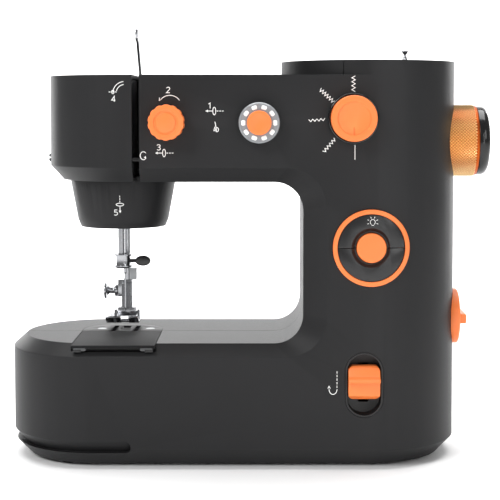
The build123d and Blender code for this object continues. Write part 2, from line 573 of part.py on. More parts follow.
GUIDE_LOW_Z, GUIDE_TOP_Z, GUIDE_T = 150.0, 195.0, 5.0
BAR_R = 2.1
with BuildPart() as head_frame:
    for guide_z in (GUIDE_LOW_Z, GUIDE_TOP_Z):
        with Locations((NEEDLE_BAR_X - 11.5, NEEDLE_Y - 7.0, guide_z)):
            Box(18.0, PRESSER_Y - NEEDLE_Y + 12.0, GUIDE_T, align=Align.MIN)
    with Locations((NEEDLE_BAR_X - 11.5, NEEDLE_Y - 7.0, GUIDE_LOW_Z)):
        Box(3.0, 16.0, GUIDE_TOP_Z - GUIDE_LOW_Z + 30.0, align=Align.MIN)
    with BuildSketch(Plane.XY.offset(GUIDE_LOW_Z)):
        with Locations((NEEDLE_BAR_X, NEEDLE_Y), (NEEDLE_X, PRESSER_Y)):
            Circle(BAR_R + RUN)
    extrude(amount=GUIDE_TOP_Z, mode=Mode.SUBTRACT)
head_frame.part.label = "head_frame"
export_step(head_frame.part, "parts/head_frame.step")

with BuildPart() as shaft_bushes:
    with BuildSketch(side_plane(BUSH_XS[0] - 4.0)):
        with Locations((MID_Y, SHAFT_Z)):
            Circle(BUSH_R)
            Circle(MAIN_R + RUN, mode=Mode.SUBTRACT)
    extrude(amount=8.0)
    with BuildSketch(side_plane(PLATE_X)):
        for bush_y, bush_z, hole_r in ((MID_Y, SHAFT_Z, MAIN_R), (LOWER_Y, LOWER_Z, LOWER_R)):
            with Locations((bush_y, bush_z)):
                Circle(BUSH_R)
                Circle(hole_r + RUN, mode=Mode.SUBTRACT)
    extrude(amount=PLATE_W)
shaft_bushes.part.label = "shaft_bushes"
export_step(shaft_bushes.part, "parts/shaft_bushes.step")

# ---------------------------------------------------------------- motor, belts and shafts
DRIVE_X, TIMING_X, BELT_W, BELT_T = 105.0, 60.0, 6.0, 1.5
DRIVE_R, MOTOR_PULLEY_R, TIMING_R = 18.0, 5.0, 11.0
MOTOR_L = 45.0

with BuildPart() as motor:
    with BuildSketch(side_plane(PLATE_X)):
        with Locations((MOTOR_Y, MOTOR_Z)):
            Circle(MOTOR_R)
    extrude(amount=-MOTOR_L)
    chamfer(motor.faces().sort_by(Axis.X)[0].edges(), 2.0)
    with BuildSketch(side_plane(PLATE_X - MOTOR_L - 3.0)):
        with Locations((MOTOR_Y, MOTOR_Z)):
            Circle(5.0)
    extrude(amount=3.0)
    with BuildSketch(side_plane(PLATE_X)):
        with Locations((MOTOR_Y, MOTOR_Z)):
            Circle(4.0)
    extrude(amount=PLATE_W)
motor.part.label = "motor"
export_step(motor.part, "parts/motor.step")


def belt(x, first_y, first_z, first_r, second_y, second_z, second_r):
    """A closed belt round two pulleys, as the difference of two hulls."""
    with BuildPart() as loop:
        for growth, mode in ((BELT_T, Mode.ADD), (0.0, Mode.SUBTRACT)):
            with BuildSketch(side_plane(x - BELT_W / 2)) as band:
                with BuildLine():
                    first = CenterArc((first_y, first_z), first_r + RUN + growth, 0, 360)
                    second = CenterArc((second_y, second_z), second_r + RUN + growth, 0, 360)
                make_hull([first.edge(), second.edge()])
            extrude(amount=BELT_W, mode=mode)
    return loop.part


with BuildPart() as drive_belt:
    add(belt(DRIVE_X, MID_Y, SHAFT_Z, DRIVE_R, MOTOR_Y, MOTOR_Z, MOTOR_PULLEY_R))
drive_belt.part.label = "drive_belt"
export_step(drive_belt.part, "parts/drive_belt.step")

with BuildPart() as timing_belt:
    add(belt(TIMING_X, MID_Y, SHAFT_Z, TIMING_R, LOWER_Y, LOWER_Z, TIMING_R))
timing_belt.part.label = "timing_belt"
export_step(timing_belt.part, "parts/timing_belt.step")


def pulley(x, y, z, radius, bore):
    """A flanged pulley across a shaft, centred on its belt."""
    with BuildPart() as wheel:
        with BuildSketch(side_plane(x - BELT_W / 2 - 0.5)):
            with Locations((y, z)):
                Circle(radius)
        extrude(amount=BELT_W + 1.0)
        for side in (-1, 1):
            start_x = x + side * (BELT_W / 2 + 0.5)
            with BuildSketch(side_plane(start_x)):
                with Locations((y, z)):
                    Circle(radius + 1.0)
            extrude(amount=side * 1.0)
        with BuildSketch(side_plane(x - BELT_W)):
            with Locations((y, z)):
                Circle(bore)
        extrude(amount=2 * BELT_W, mode=Mode.SUBTRACT)
    return wheel.part


with BuildPart() as main_pulleys:
    add(pulley(DRIVE_X, MID_Y, SHAFT_Z, DRIVE_R, MAIN_R))
    add(pulley(TIMING_X, MID_Y, SHAFT_Z, TIMING_R, MAIN_R))
main_pulleys.part.label = "main_pulleys"
export_step(main_pulleys.part, "parts/main_pulleys.step")

with BuildPart() as motor_pulley:
    add(pulley(DRIVE_X, MOTOR_Y, MOTOR_Z, MOTOR_PULLEY_R, 1.5))
    with BuildSketch(side_plane(PLATE_X + PLATE_W + GAP)):
        with Locations((MOTOR_Y, MOTOR_Z)):
            Circle(1.5)
    extrude(amount=DRIVE_X - PLATE_X + 2.0)
motor_pulley.part.label = "motor_pulley"
export_step(motor_pulley.part, "parts/motor_pulley.step")

CRANK_X, CRANK_T, CRANK_R = -63.5, 3.5, 16.5
CRANK_THROW = 13.5              # half of the needle bar's stroke
NEEDLE_STROKE = 2 * CRANK_THROW
with BuildPart() as main_shaft:
    with BuildSketch(side_plane(CRANK_X + CRANK_T)):
        with Locations((MID_Y, SHAFT_Z)):
            Circle(MAIN_R)
    extrude(amount=WHEEL_SEAT_X + 1.0 - CRANK_X - CRANK_T)
main_shaft.part.label = "main_shaft"
export_step(main_shaft.part, "parts/main_shaft.step")

with BuildPart() as crank_disc:
    with BuildSketch(side_plane(CRANK_X)):
        with Locations((MID_Y, SHAFT_Z)):
            Circle(CRANK_R)
    extrude(amount=CRANK_T)
    with BuildSketch(side_plane(CRANK_X - 2.6)):
        with Locations((MID_Y, SHAFT_Z + CRANK_THROW)):
            Circle(2.0)
    extrude(amount=2.6)
    chamfer(crank_disc.faces().sort_by(Axis.X)[0].edges(), 0.4)
crank_disc.part.label = "crank_disc"
export_step(crank_disc.part, "parts/crank_disc.step")

with BuildPart() as handwheel:
    with BuildSketch(side_plane(WHEEL_SEAT_X + 1.0)):
        with Locations((MID_Y, SHAFT_Z)):
            Circle(WHEEL_R)
    extrude(amount=WHEEL_END - WHEEL_SEAT_X - 8.0)
    chamfer(handwheel.faces().sort_by(Axis.X)[-1].edges(), 0.8)
handwheel.part.label = "handwheel"
export_step(handwheel.part, "parts/handwheel.step")

with BuildPart() as handwheel_cap:
    with BuildSketch(side_plane(WHEEL_END - 7.0)):
        with Locations((MID_Y, SHAFT_Z)):
            Circle(WHEEL_R - 0.8)
    extrude(amount=7.0)
    fillet(handwheel_cap.faces().sort_by(Axis.X)[-1].edges(), 4.5)
handwheel_cap.part.label = "handwheel_cap"
export_step(handwheel_cap.part, "parts/handwheel_cap.step")

# ---------------------------------------------------------------- lower shaft and hook
GEAR_TEETH, HOOK_TEETH = 16, 8
GEAR_R, HOOK_GEAR_R = 12.0, 6.0     # pitch radii: the hook turns twice for each turn of the shaft
MESH_GAP = 0.2


def bevel_wheel(teeth, pitch_r, apex_h):
    """A straight bevel gear about Z with its pitch cone's tip at the origin."""
    slope = degrees(atan(pitch_r / apex_h))
    with BuildPart() as wheel:
        with BuildSketch(Plane.XZ):
            with BuildLine():
                Polyline((0, 0.7 * apex_h), (0.7 * pitch_r - 1.5, 0.7 * apex_h),
                         (pitch_r - 1.5, apex_h), (0, apex_h), close=True)
            make_face()
        revolve(axis=Axis.Z)
        with PolarLocations(0, teeth):
            with Locations(Location((0.85 * pitch_r - 0.9, 0, 0.85 * apex_h + 0.3), (0, slope, 0))):
                Box(1.4, 1.6, 0.28 * hypot(pitch_r, apex_h))
        with Locations((0, 0, apex_h)):
            Box(3 * pitch_r, 3 * pitch_r, apex_h, align=(Align.CENTER, Align.CENTER, Align.MIN),
                mode=Mode.SUBTRACT)
    return wheel.part


with BuildPart() as lower_shaft:
    with BuildSketch(side_plane(NEEDLE_X + HOOK_GEAR_R)):
        with Locations((LOWER_Y, LOWER_Z)):
            Circle(LOWER_R)
    extrude(amount=PLATE_X + PLATE_W + 4.0 - NEEDLE_X - HOOK_GEAR_R)
lower_shaft.part.label = "lower_shaft"
export_step(lower_shaft.part, "parts/lower_shaft.step")

with BuildPart() as lower_wheels:
    add(pulley(TIMING_X, LOWER_Y, LOWER_Z, TIMING_R, LOWER_R))
    gear_place = Plane(origin=(NEEDLE_X, LOWER_Y, LOWER_Z), x_dir=(0, 0, 1), z_dir=(1, 0, 0)).location
    add(bevel_wheel(GEAR_TEETH, GEAR_R - MESH_GAP, HOOK_GEAR_R + MESH_GAP).moved(gear_place))
    with BuildSketch(side_plane(NEEDLE_X)):
        with Locations((LOWER_Y, LOWER_Z)):
            Circle(LOWER_R)
    extrude(amount=4 * HOOK_GEAR_R, mode=Mode.SUBTRACT)
lower_wheels.part.label = "lower_wheels"
export_step(lower_wheels.part, "parts/lower_wheels.step")

HOOK_FLOOR_Z = 55.0
HOOK_WALL = 1.6
with BuildPart() as hook:
    with BuildSketch(upright(NEEDLE_X, HOOK_Y)):
        with BuildLine():
            Polyline((0, LOWER_Z + GEAR_R), (3.0, LOWER_Z + GEAR_R), (3.0, HOOK_FLOOR_Z),
                     (HOOK_R, HOOK_FLOOR_Z), (HOOK_R, HOOK_TOP_Z), (HOOK_R - HOOK_WALL, HOOK_TOP_Z),
                     (HOOK_R - HOOK_WALL, HOOK_FLOOR_Z + HOOK_WALL), (0, HOOK_FLOOR_Z + HOOK_WALL),
                     close=True)
        make_face()
    revolve(axis=vertical(NEEDLE_X, HOOK_Y))
    # windows that leave the hook's point, and cut the rim away behind it
    for angle in (40.0, 220.0):
        with BuildSketch(Plane.XY.offset(HOOK_TOP_Z)):
            with Locations(Location((NEEDLE_X, HOOK_Y, 0), (0, 0, angle))):
                with Locations((HOOK_R, 0)):
                    Rectangle(8.0, 13.0)
        extrude(amount=-7.0, mode=Mode.SUBTRACT)
    hook_gear = bevel_wheel(HOOK_TEETH, HOOK_GEAR_R - MESH_GAP, GEAR_R + MESH_GAP)
    half_tooth = 180.0 / HOOK_TEETH
    add(hook_gear.moved(Location((NEEDLE_X, LOWER_Y, LOWER_Z), (0, 0, half_tooth))))
hook.part.label = "hook"
export_step(hook.part, "parts/hook.step")

CASE_R = HOOK_R - HOOK_WALL - 0.6
BOBBIN_R, BOBBIN_H = 10.15, 11.7
CASE_FLOOR_Z = HOOK_FLOOR_Z + HOOK_WALL + 0.5
with BuildPart() as bobbin_case:
    with BuildSketch(Plane.XY.offset(CASE_FLOOR_Z)):
        with Locations((NEEDLE_X, HOOK_Y)):
            Circle(CASE_R)
    extrude(amount=HOOK_TOP_Z + 1.0 - CASE_FLOOR_Z)
    with BuildSketch(Plane.XY.offset(CASE_FLOOR_Z + 1.0)):
        with Locations((NEEDLE_X, HOOK_Y)):
            Circle(BOBBIN_R + 0.8)
    extrude(amount=HOOK_TOP_Z, mode=Mode.SUBTRACT)
    # a tongue that keeps the case from turning with the hook
    with Locations((COVER_LEFT + 3.0, HOOK_Y, HOOK_TOP_Z + 0.4)):
        Box(14.0, 5.0, 1.2, align=(Align.MIN, Align.CENTER, Align.MIN))
    with Locations((NEEDLE_X, HOOK_Y, CASE_FLOOR_Z + 1.0)):
        Cylinder(BOBBIN_R + 0.8, HOOK_TOP_Z, align=(Align.CENTER, Align.CENTER, Align.MIN),
                 mode=Mode.SUBTRACT)
bobbin_case.part.label = "bobbin_case"
export_step(bobbin_case.part, "parts/bobbin_case.step")

BOBBIN_Z = CASE_FLOOR_Z + 1.0 + GAP
with BuildPart() as bobbin:
    with BuildSketch(upright(NEEDLE_X, HOOK_Y)):
        with BuildLine():
            Polyline((3.0, BOBBIN_Z), (BOBBIN_R, BOBBIN_Z), (BOBBIN_R, BOBBIN_Z + 0.8),
                     (4.4, BOBBIN_Z + 0.8), (4.4, BOBBIN_Z + BOBBIN_H - 0.8),
                     (BOBBIN_R, BOBBIN_Z + BOBBIN_H - 0.8), (BOBBIN_R, BOBBIN_Z + BOBBIN_H),
                     (3.0, BOBBIN_Z + BOBBIN_H), close=True)
        make_face()
    revolve(axis=vertical(NEEDLE_X, HOOK_Y))
    with Locations((NEEDLE_X, HOOK_Y, BOBBIN_Z)):
        with PolarLocations(7.2, 4):
            Cylinder(1.3, 4 * BOBBIN_H, mode=Mode.SUBTRACT)
bobbin.part.label = "bobbin"
export_step(bobbin.part, "parts/bobbin.step")

# ---------------------------------------------------------------- needle bar and what it carries
CLAMP_LOW_Z, CLAMP_TOP_Z = 116.5, 125.5
BAR_TOP_Z = 234.0
NEEDLE_L = 38.0
NEEDLE_TOP_Z = CLAMP_TOP_Z
STUD_Z = SHAFT_Z - 11.0

with BuildPart() as needle_bar:
    with BuildSketch(Plane.XY.offset(CLAMP_TOP_Z)):
        with Locations((NEEDLE_BAR_X, NEEDLE_Y)):
            Circle(BAR_R)
    extrude(amount=BAR_TOP_Z - CLAMP_TOP_Z)
    # block and stud that the connecting link drives
    with Locations((NEEDLE_BAR_X, NEEDLE_Y, STUD_Z)):
        Box(7.0, 8.0, 8.0)
    with BuildSketch(side_plane(NEEDLE_BAR_X)):
        with Locations((NEEDLE_Y, STUD_Z)):
            Circle(1.6)
    extrude(amount=9.6)
needle_bar.part.label = "needle_bar"
export_step(needle_bar.part, "parts/needle_bar.step")

with BuildPart() as needle_clamp:
    clamp_x = (NEEDLE_BAR_X + NEEDLE_X) / 2
    with BuildSketch(upright(clamp_x, NEEDLE_Y)):
        with BuildLine():
            Polyline((0, CLAMP_LOW_Z), (5.0, CLAMP_LOW_Z), (6.3, CLAMP_LOW_Z + 1.2),
                     (6.3, CLAMP_LOW_Z + 1.7), (4.8, CLAMP_LOW_Z + 1.7), (4.8, CLAMP_TOP_Z - 1.0),
                     (6.0, CLAMP_TOP_Z - 1.0), (6.0, CLAMP_TOP_Z), (0, CLAMP_TOP_Z), close=True)
        make_face()
    revolve(axis=vertical(clamp_x, NEEDLE_Y))
    with BuildSketch(Plane.XY.offset(CLAMP_LOW_Z)):
        with Locations((NEEDLE_X, NEEDLE_Y)):
            Circle(1.0)
    extrude(amount=NEEDLE_TOP_Z - CLAMP_LOW_Z, mode=Mode.SUBTRACT)
    with BuildSketch(side_plane(NEEDLE_X)):
        with Locations((NEEDLE_Y, (CLAMP_LOW_Z + CLAMP_TOP_Z) / 2)):
            Circle(1.2 + RUN)
    extrude(amount=10.0, mode=Mode.SUBTRACT)
needle_clamp.part.label = "needle_clamp"
export_step(needle_clamp.part, "parts/needle_clamp.step")

CLAMP_SCREW_X = clamp_x + 6.3
with BuildPart() as needle_clamp_screw:
    with BuildSketch(side_plane(NEEDLE_X + 1.0)):
        with Locations((NEEDLE_Y, (CLAMP_LOW_Z + CLAMP_TOP_Z) / 2)):
            Circle(1.2)
    extrude(amount=CLAMP_SCREW_X + 3.0 - NEEDLE_X - 1.0)
    # long oval thumb grip
    with BuildSketch(Plane.XZ.offset(-NEEDLE_Y)):
        with Locations((CLAMP_SCREW_X + 6.4, (CLAMP_LOW_Z + CLAMP_TOP_Z) / 2)):
            Ellipse(5.0, 3.4)
    extrude(amount=1.4, both=True)
    fillet(needle_clamp_screw.edges().filter_by(GeomType.ELLIPSE), 1.1)
needle_clamp_screw.part.label = "needle_clamp_screw"
export_step(needle_clamp_screw.part, "parts/needle_clamp_screw.step")

with BuildPart() as needle:
    shank_l, blade_r, tip_l = 12.0, 0.4, 3.0
    with BuildSketch(upright(NEEDLE_X, NEEDLE_Y)):
        with BuildLine():
            Polyline((0, NEEDLE_TOP_Z), (1.0, NEEDLE_TOP_Z), (1.0, NEEDLE_TOP_Z - shank_l),
                     (blade_r, NEEDLE_TOP_Z - shank_l - 1.0),
                     (blade_r, NEEDLE_TOP_Z - NEEDLE_L + tip_l), (0, NEEDLE_TOP_Z - NEEDLE_L), close=True)
        make_face()
    revolve(axis=vertical(NEEDLE_X, NEEDLE_Y))
needle.part.label = "needle"
export_step(needle.part, "parts/needle.step")

LINK_X, LINK_T = NEEDLE_BAR_X + 7.6, 1.6
LINK_TOP = (MID_Y, SHAFT_Z + CRANK_THROW)
with BuildPart() as connecting_link:
    with BuildSketch(side_plane(LINK_X)):
        for end_y, end_z in ((NEEDLE_Y, STUD_Z), LINK_TOP):
            with Locations((end_y, end_z)):
                Circle(4.0)
        reach = hypot(LINK_TOP[0] - NEEDLE_Y, LINK_TOP[1] - STUD_Z)
        lean = degrees(atan((NEEDLE_Y - LINK_TOP[0]) / (LINK_TOP[1] - STUD_Z)))
        with Locations(((NEEDLE_Y + LINK_TOP[0]) / 2, (STUD_Z + LINK_TOP[1]) / 2)):
            Rectangle(5.0, reach, rotation=lean)
        with Locations((NEEDLE_Y, STUD_Z)):
            Circle(1.6 + RUN, mode=Mode.SUBTRACT)
        with Locations(LINK_TOP):
            Circle(2.0 + RUN, mode=Mode.SUBTRACT)
    extrude(amount=LINK_T)
connecting_link.part.label = "connecting_link"
export_step(connecting_link.part, "parts/connecting_link.step")

# ---------------------------------------------------------------- take-up lever
LEVER_T = 1.6
LEVER_BEND = (FRONT_Y + 34.0, ARM_Z)
LEVER_EYE = (FRONT_Y + 12.5, 264.6)
EYE_R = 4.4
with BuildPart() as take_up_lever:
    with BuildSketch(side_plane(SLOT_X - LEVER_T / 2)):
        pivot = (LEVER_PIVOT_Y, LEVER_PIVOT_Z)
        for start, end, width in ((pivot, LEVER_BEND, 5.0), (LEVER_BEND, LEVER_EYE, 2.6)):
            length = hypot(end[0] - start[0], end[1] - start[1])
            tilt = degrees(atan((start[0] - end[0]) / (end[1] - start[1])))
            with Locations(((start[0] + end[0]) / 2, (start[1] + end[1]) / 2)):
                Rectangle(width, length, rotation=tilt)
        with Locations(pivot):
            Circle(5.0)
        with Locations(LEVER_BEND):
            Circle(2.5)
        with Locations(LEVER_EYE):
            Circle(EYE_R)
            Circle(EYE_R - 1.5, mode=Mode.SUBTRACT)
        with Locations(pivot):
            Circle(2.0 + RUN, mode=Mode.SUBTRACT)
    extrude(amount=LEVER_T)
take_up_lever.part.label = "take_up_lever"
export_step(take_up_lever.part, "parts/take_up_lever.step")

# ---------------------------------------------------------------- presser bar, foot and lever
FOOT_LIFT = 4.4                 # how far the foot stands above the needle plate
SOLE_Z = BED_Z + FOOT_LIFT
SHANK_LOW_Z, SHANK_TOP_Z = 87.0, 105.5
SHANK_X = NEEDLE_X + 0.3
SHANK_W, SHANK_T = 7.0, 4.5
FOOT_PIN_Z = 86.0
FOOT_PIN_Y = PRESSER_Y - 3.4
COLLAR_Z = 166.0
BAR_REAR_X = NEEDLE_X + 5.6
with BuildPart() as presser_bar:
    with BuildSketch(Plane.XY.offset(SHANK_TOP_Z - 8.0)):
        with Locations((NEEDLE_X, PRESSER_Y)):
            Circle(BAR_R)
    extrude(amount=GUIDE_TOP_Z + 25.0 - SHANK_TOP_Z)
    with BuildSketch(Plane.XY.offset(COLLAR_Z - 5.0)):
        with Locations((NEEDLE_X, PRESSER_Y)):
            Circle(4.4)
    extrude(amount=5.0)
presser_bar.part.label = "presser_bar"
export_step(presser_bar.part, "parts/presser_bar.step")

with BuildPart() as presser_spring:
    coil_r, wire_r, pitch = 3.4, 0.4, 2.9
    low_z, top_z = COLLAR_Z + wire_r, GUIDE_TOP_Z - wire_r
    with BuildLine():
        Helix(pitch, top_z - low_z, coil_r, center=(NEEDLE_X, PRESSER_Y, low_z))
    with BuildSketch(Plane(origin=(NEEDLE_X + coil_r, PRESSER_Y, low_z), z_dir=(0, 1, 0))):
        Circle(wire_r)
    sweep(is_frenet=True)
presser_spring.part.label = "presser_spring"
export_step(presser_spring.part, "parts/presser_spring.step")

SHANK_SCREW_Z = 100.1
with BuildPart() as foot_shank:
    with Locations((SHANK_X, PRESSER_Y - 3.2, (SHANK_LOW_Z + SHANK_TOP_Z) / 2)):
        Box(SHANK_W, SHANK_T, SHANK_TOP_Z - SHANK_LOW_Z)
    with Locations((NEEDLE_X - 1.2, PRESSER_Y + 1.0, SHANK_TOP_Z - 3.6)):
        Box(4.6 + 4.6, 8.4, 11.0)
    with BuildSketch(Plane.XY.offset(SHANK_TOP_Z - 8.0)):
        with Locations((NEEDLE_X, PRESSER_Y)):
            Circle(BAR_R)
    extrude(amount=20.0, mode=Mode.SUBTRACT)
    # fork that holds the foot's pin
    with Locations((SHANK_X, FOOT_PIN_Y, FOOT_PIN_Z + 0.8)):
        Box(12.0, 5.2, 5.6)
    with Locations((SHANK_X, FOOT_PIN_Y, FOOT_PIN_Z - 1.3)):
        Box(20.0, 1.9, 4.0, mode=Mode.SUBTRACT)
    with BuildSketch(side_plane(SHANK_X - 10.0)):
        with Locations((FOOT_PIN_Y, FOOT_PIN_Z)):
            Circle(0.9 + RUN)
    extrude(amount=20.0, mode=Mode.SUBTRACT)
    with BuildSketch(side_plane(NEEDLE_X - 8.0)):
        with Locations((PRESSER_Y, SHANK_SCREW_Z)):
            Circle(1.6 + RUN)
    extrude(amount=8.0 - BAR_R, mode=Mode.SUBTRACT)
foot_shank.part.label = "foot_shank"
export_step(foot_shank.part, "parts/foot_shank.step")

with BuildPart() as shank_screw:
    head_x = NEEDLE_X - 15.4
    with BuildSketch(Plane.XZ.offset(-PRESSER_Y)):
        with BuildLine():
            Polyline((NEEDLE_X - BAR_R - GAP, SHANK_SCREW_Z), (NEEDLE_X - BAR_R - GAP, SHANK_SCREW_Z + 1.6),
                     (NEEDLE_X - 6.1, SHANK_SCREW_Z + 1.6), (NEEDLE_X - 6.1, SHANK_SCREW_Z + 4.0),
                     (NEEDLE_X - 7.9, SHANK_SCREW_Z + 4.0), (NEEDLE_X - 8.6, SHANK_SCREW_Z + 2.2),
                     (NEEDLE_X - 11.4, SHANK_SCREW_Z + 2.0), (head_x + 2.4, SHANK_SCREW_Z + 3.4),
                     (head_x + 1.8, SHANK_SCREW_Z + 5.4), (head_x + 0.7, SHANK_SCREW_Z + 5.4),
                     (head_x, SHANK_SCREW_Z + 3.2), (head_x, SHANK_SCREW_Z), close=True)
        make_face()
    revolve(axis=Axis((0, PRESSER_Y, SHANK_SCREW_Z), (1, 0, 0)))
shank_screw.part.label = "shank_screw"
export_step(shank_screw.part, "parts/shank_screw.step")

CUTTER_LOW_Z, CUTTER_H = 107.5, 7.4
CUTTER_W = 4.6
with BuildPart() as bar_thread_cutter:
    with Locations((NEEDLE_X + 3.9, PRESSER_Y, CUTTER_LOW_Z)):
        Box(CUTTER_W, 5.0, CUTTER_H, align=(Align.CENTER, Align.CENTER, Align.MIN))
    with BuildSketch(Plane.XY.offset(CUTTER_LOW_Z - 1)):
        with Locations((NEEDLE_X, PRESSER_Y)):
            Circle(BAR_R)
    extrude(amount=CUTTER_H + 2, mode=Mode.SUBTRACT)
    # slit that cuts the thread
    with Locations((NEEDLE_X + 3.9 + CUTTER_W / 4, PRESSER_Y + 2.5, CUTTER_LOW_Z + 1.5)):
        Box(0.8, 3.0, 3.2, mode=Mode.SUBTRACT)
bar_thread_cutter.part.label = "bar_thread_cutter"
export_step(bar_thread_cutter.part, "parts/bar_thread_cutter.step")

FOOT_W, FOOT_FRONT, FOOT_REAR = 21.0, 17.0, 12.0
FOOT_LEFT = SHANK_X - 12.5      # the left toe is the wider one
SOLE_T = 1.5
with BuildPart() as presser_foot:
    # sole with turned-up toes, drawn from the side
    toe_y = FOOT_PIN_Y - FOOT_FRONT
    heel_y = FOOT_PIN_Y + FOOT_REAR
    with BuildSketch(side_plane(FOOT_LEFT)):
        with BuildLine():
            Polyline((toe_y, SOLE_Z + 4.4), (toe_y + 5.5, SOLE_Z + 0.4), (toe_y + 7.5, SOLE_Z),
                     (heel_y - 3.0, SOLE_Z), (heel_y, SOLE_Z + 1.6), (heel_y, SOLE_Z + 3.0),
                     (heel_y - 3.4, SOLE_Z + SOLE_T), (toe_y + 8.0, SOLE_Z + SOLE_T),
                     (toe_y + 6.0, SOLE_Z + SOLE_T + 0.4), (toe_y + 0.9, SOLE_Z + 5.4), close=True)
        make_face()
    extrude(amount=FOOT_W)
    with BuildSketch(Plane.XY.offset(SOLE_Z - 1)):
        with Locations((NEEDLE_X, NEEDLE_Y)):
            SlotOverall(8.0, 2.6)
        with Locations((NEEDLE_X, toe_y + 4.0)):
            Rectangle(5.0, 8.0)
        with Locations((NEEDLE_X, NEEDLE_Y - 3.0)):
            Rectangle(1.6, 6.0)
    extrude(amount=10.0, mode=Mode.SUBTRACT)
    # ears and the pin that snaps into the shank
    with Locations((SHANK_X, FOOT_PIN_Y, SOLE_Z + SOLE_T - 0.2)):
        with GridLocations(15.0, 0, 2, 1):
            Box(1.6, 5.4, FOOT_PIN_Z - SOLE_Z + 0.8, align=(Align.CENTER, Align.CENTER, Align.MIN))
    with BuildSketch(side_plane(SHANK_X - 7.5)):
        with Locations((FOOT_PIN_Y, FOOT_PIN_Z)):
            Circle(0.9)
    extrude(amount=15.0)
presser_foot.part.label = "presser_foot"
export_step(presser_foot.part, "parts/presser_foot.step")

HANDLE_L = 26.0
with BuildPart() as presser_lever:
    with BuildSketch(Plane.XZ.offset(-(PRESSER_Y + 7.0))):
        with Locations((LEVER_X, LEVER_Z)):
            Circle(LEVER_R)
    extrude(amount=-(FRONT_Y + 97.0 - PRESSER_Y - 7.0))
    with BuildSketch(Plane.XZ.offset(-(FRONT_Y + 92.0))):
        with Locations((LEVER_X + HANDLE_L / 2, LEVER_Z)):
            SlotOverall(HANDLE_L + 9.0, 9.0)
    extrude(amount=-5.0)
    fillet(presser_lever.faces().sort_by(Axis.Y)[-1].edges(), 1.2)
presser_lever.part.label = "presser_lever"
export_step(presser_lever.part, "parts/presser_lever.step")

with BuildPart() as feed_dog:
    feed_top = BED_Z - 0.8
    for side in (-1, 1):
        with BuildSketch(side_plane(NEEDLE_X + side * SLOT_PITCH / 2 - 1.0)):
            with BuildLine():
                first_y = NEEDLE_Y + 3.0 - 9.0
                points = [(first_y, feed_top - 3.4)]
                for tooth in range(12):
                    points.append((first_y + 1.5 * tooth, feed_top - 0.9))
                    points.append((first_y + 1.5 * tooth + 1.1, feed_top))
                points.append((first_y + 18.0, feed_top - 3.4))
                Polyline(*points, close=True)
            make_face()
        extrude(amount=2.0)
    with Locations((NEEDLE_X, PLATE_REAR_Y - 12.0, feed_top - 3.4)):
        Box(SLOT_PITCH + 2.0, 6.0, 3.0, align=(Align.CENTER, Align.CENTER, Align.MAX))
    with Locations((NEEDLE_X, PLATE_REAR_Y - 12.0, feed_top - 6.4)):
        Box(6.0, 6.0, 18.0, align=(Align.CENTER, Align.CENTER, Align.MAX))
feed_dog.part.label = "feed_dog"
export_step(feed_dog.part, "parts/feed_dog.step")

# ---------------------------------------------------------------- front controls
STEM_R = 4.0
STEM_DEPTH = 14.0


def stem(x, z, radius, depth):
    """A round stem running back through the front wall."""
    with BuildPart() as shaft:
        with BuildSketch(FRONT.offset(GAP)):
            with Locations((x, z)):
                Circle(radius)
        extrude(amount=-depth)
    return shaft.part


with BuildPart() as tension_knob:
    add(stem(TENSION_X, TENSION_Z, STEM_R, STEM_DEPTH))
    with BuildSketch(FRONT.offset(GAP)):
        with Locations((TENSION_X, TENSION_Z)):
            Circle(TENSION_R)
            with PolarLocations(TENSION_R + 2.6, 14):
                Circle(3.0, mode=Mode.SUBTRACT)
    extrude(amount=CONTROL_REACH - GAP)
    with BuildSketch(FRONT.offset(CONTROL_REACH)):
        with Locations((TENSION_X, TENSION_Z)):
            Circle(7.2)
            Circle(5.8, mode=Mode.SUBTRACT)
    extrude(amount=-0.6, mode=Mode.SUBTRACT)
tension_knob.part.label = "tension_knob"
export_step(tension_knob.part, "parts/tension_knob.step")

WINDOWS = 10
with BuildPart() as stitch_length_dial:
    add(stem(DIAL_X, DIAL_Z, STEM_R, STEM_DEPTH))
    with BuildSketch(FRONT.offset(GAP)):
        with Locations((DIAL_X, DIAL_Z)):
            Circle(DIAL_R)
    extrude(amount=8.0)
    chamfer(stitch_length_dial.faces().sort_by(Axis.Y)[0].edges(), 0.6)
    with BuildSketch(FRONT.offset(GAP + 8.0)):
        with Locations((DIAL_X, DIAL_Z)):
            Circle(7.4)
    extrude(amount=2.2)
    fillet(stitch_length_dial.faces().sort_by(Axis.Y)[0].edges(), 0.8)
    with BuildSketch(FRONT.offset(GAP + 8.0)):
        with Locations((DIAL_X, DIAL_Z)):
            with PolarLocations(9.7, WINDOWS):
                RectangleRounded(2.4, 3.2, 0.8)
    extrude(amount=-0.5, mode=Mode.SUBTRACT)
stitch_length_dial.part.label = "stitch_length_dial"
export_step(stitch_length_dial.part, "parts/stitch_length_dial.step")

with BuildPart() as selector_bezel:
    with BuildSketch(FRONT):
        with Locations((SELECTOR_X, SELECTOR_Z)):
            Circle(SELECTOR_R + 1.5)
            Circle(SELECTOR_R + GAP, mode=Mode.SUBTRACT)
    extrude(amount=3.0)
    chamfer(selector_bezel.faces().sort_by(Axis.Y)[0].edges().sort_by(SortBy.LENGTH)[-1], 0.5)
selector_bezel.part.label = "selector_bezel"
export_step(selector_bezel.part, "parts/selector_bezel.step")

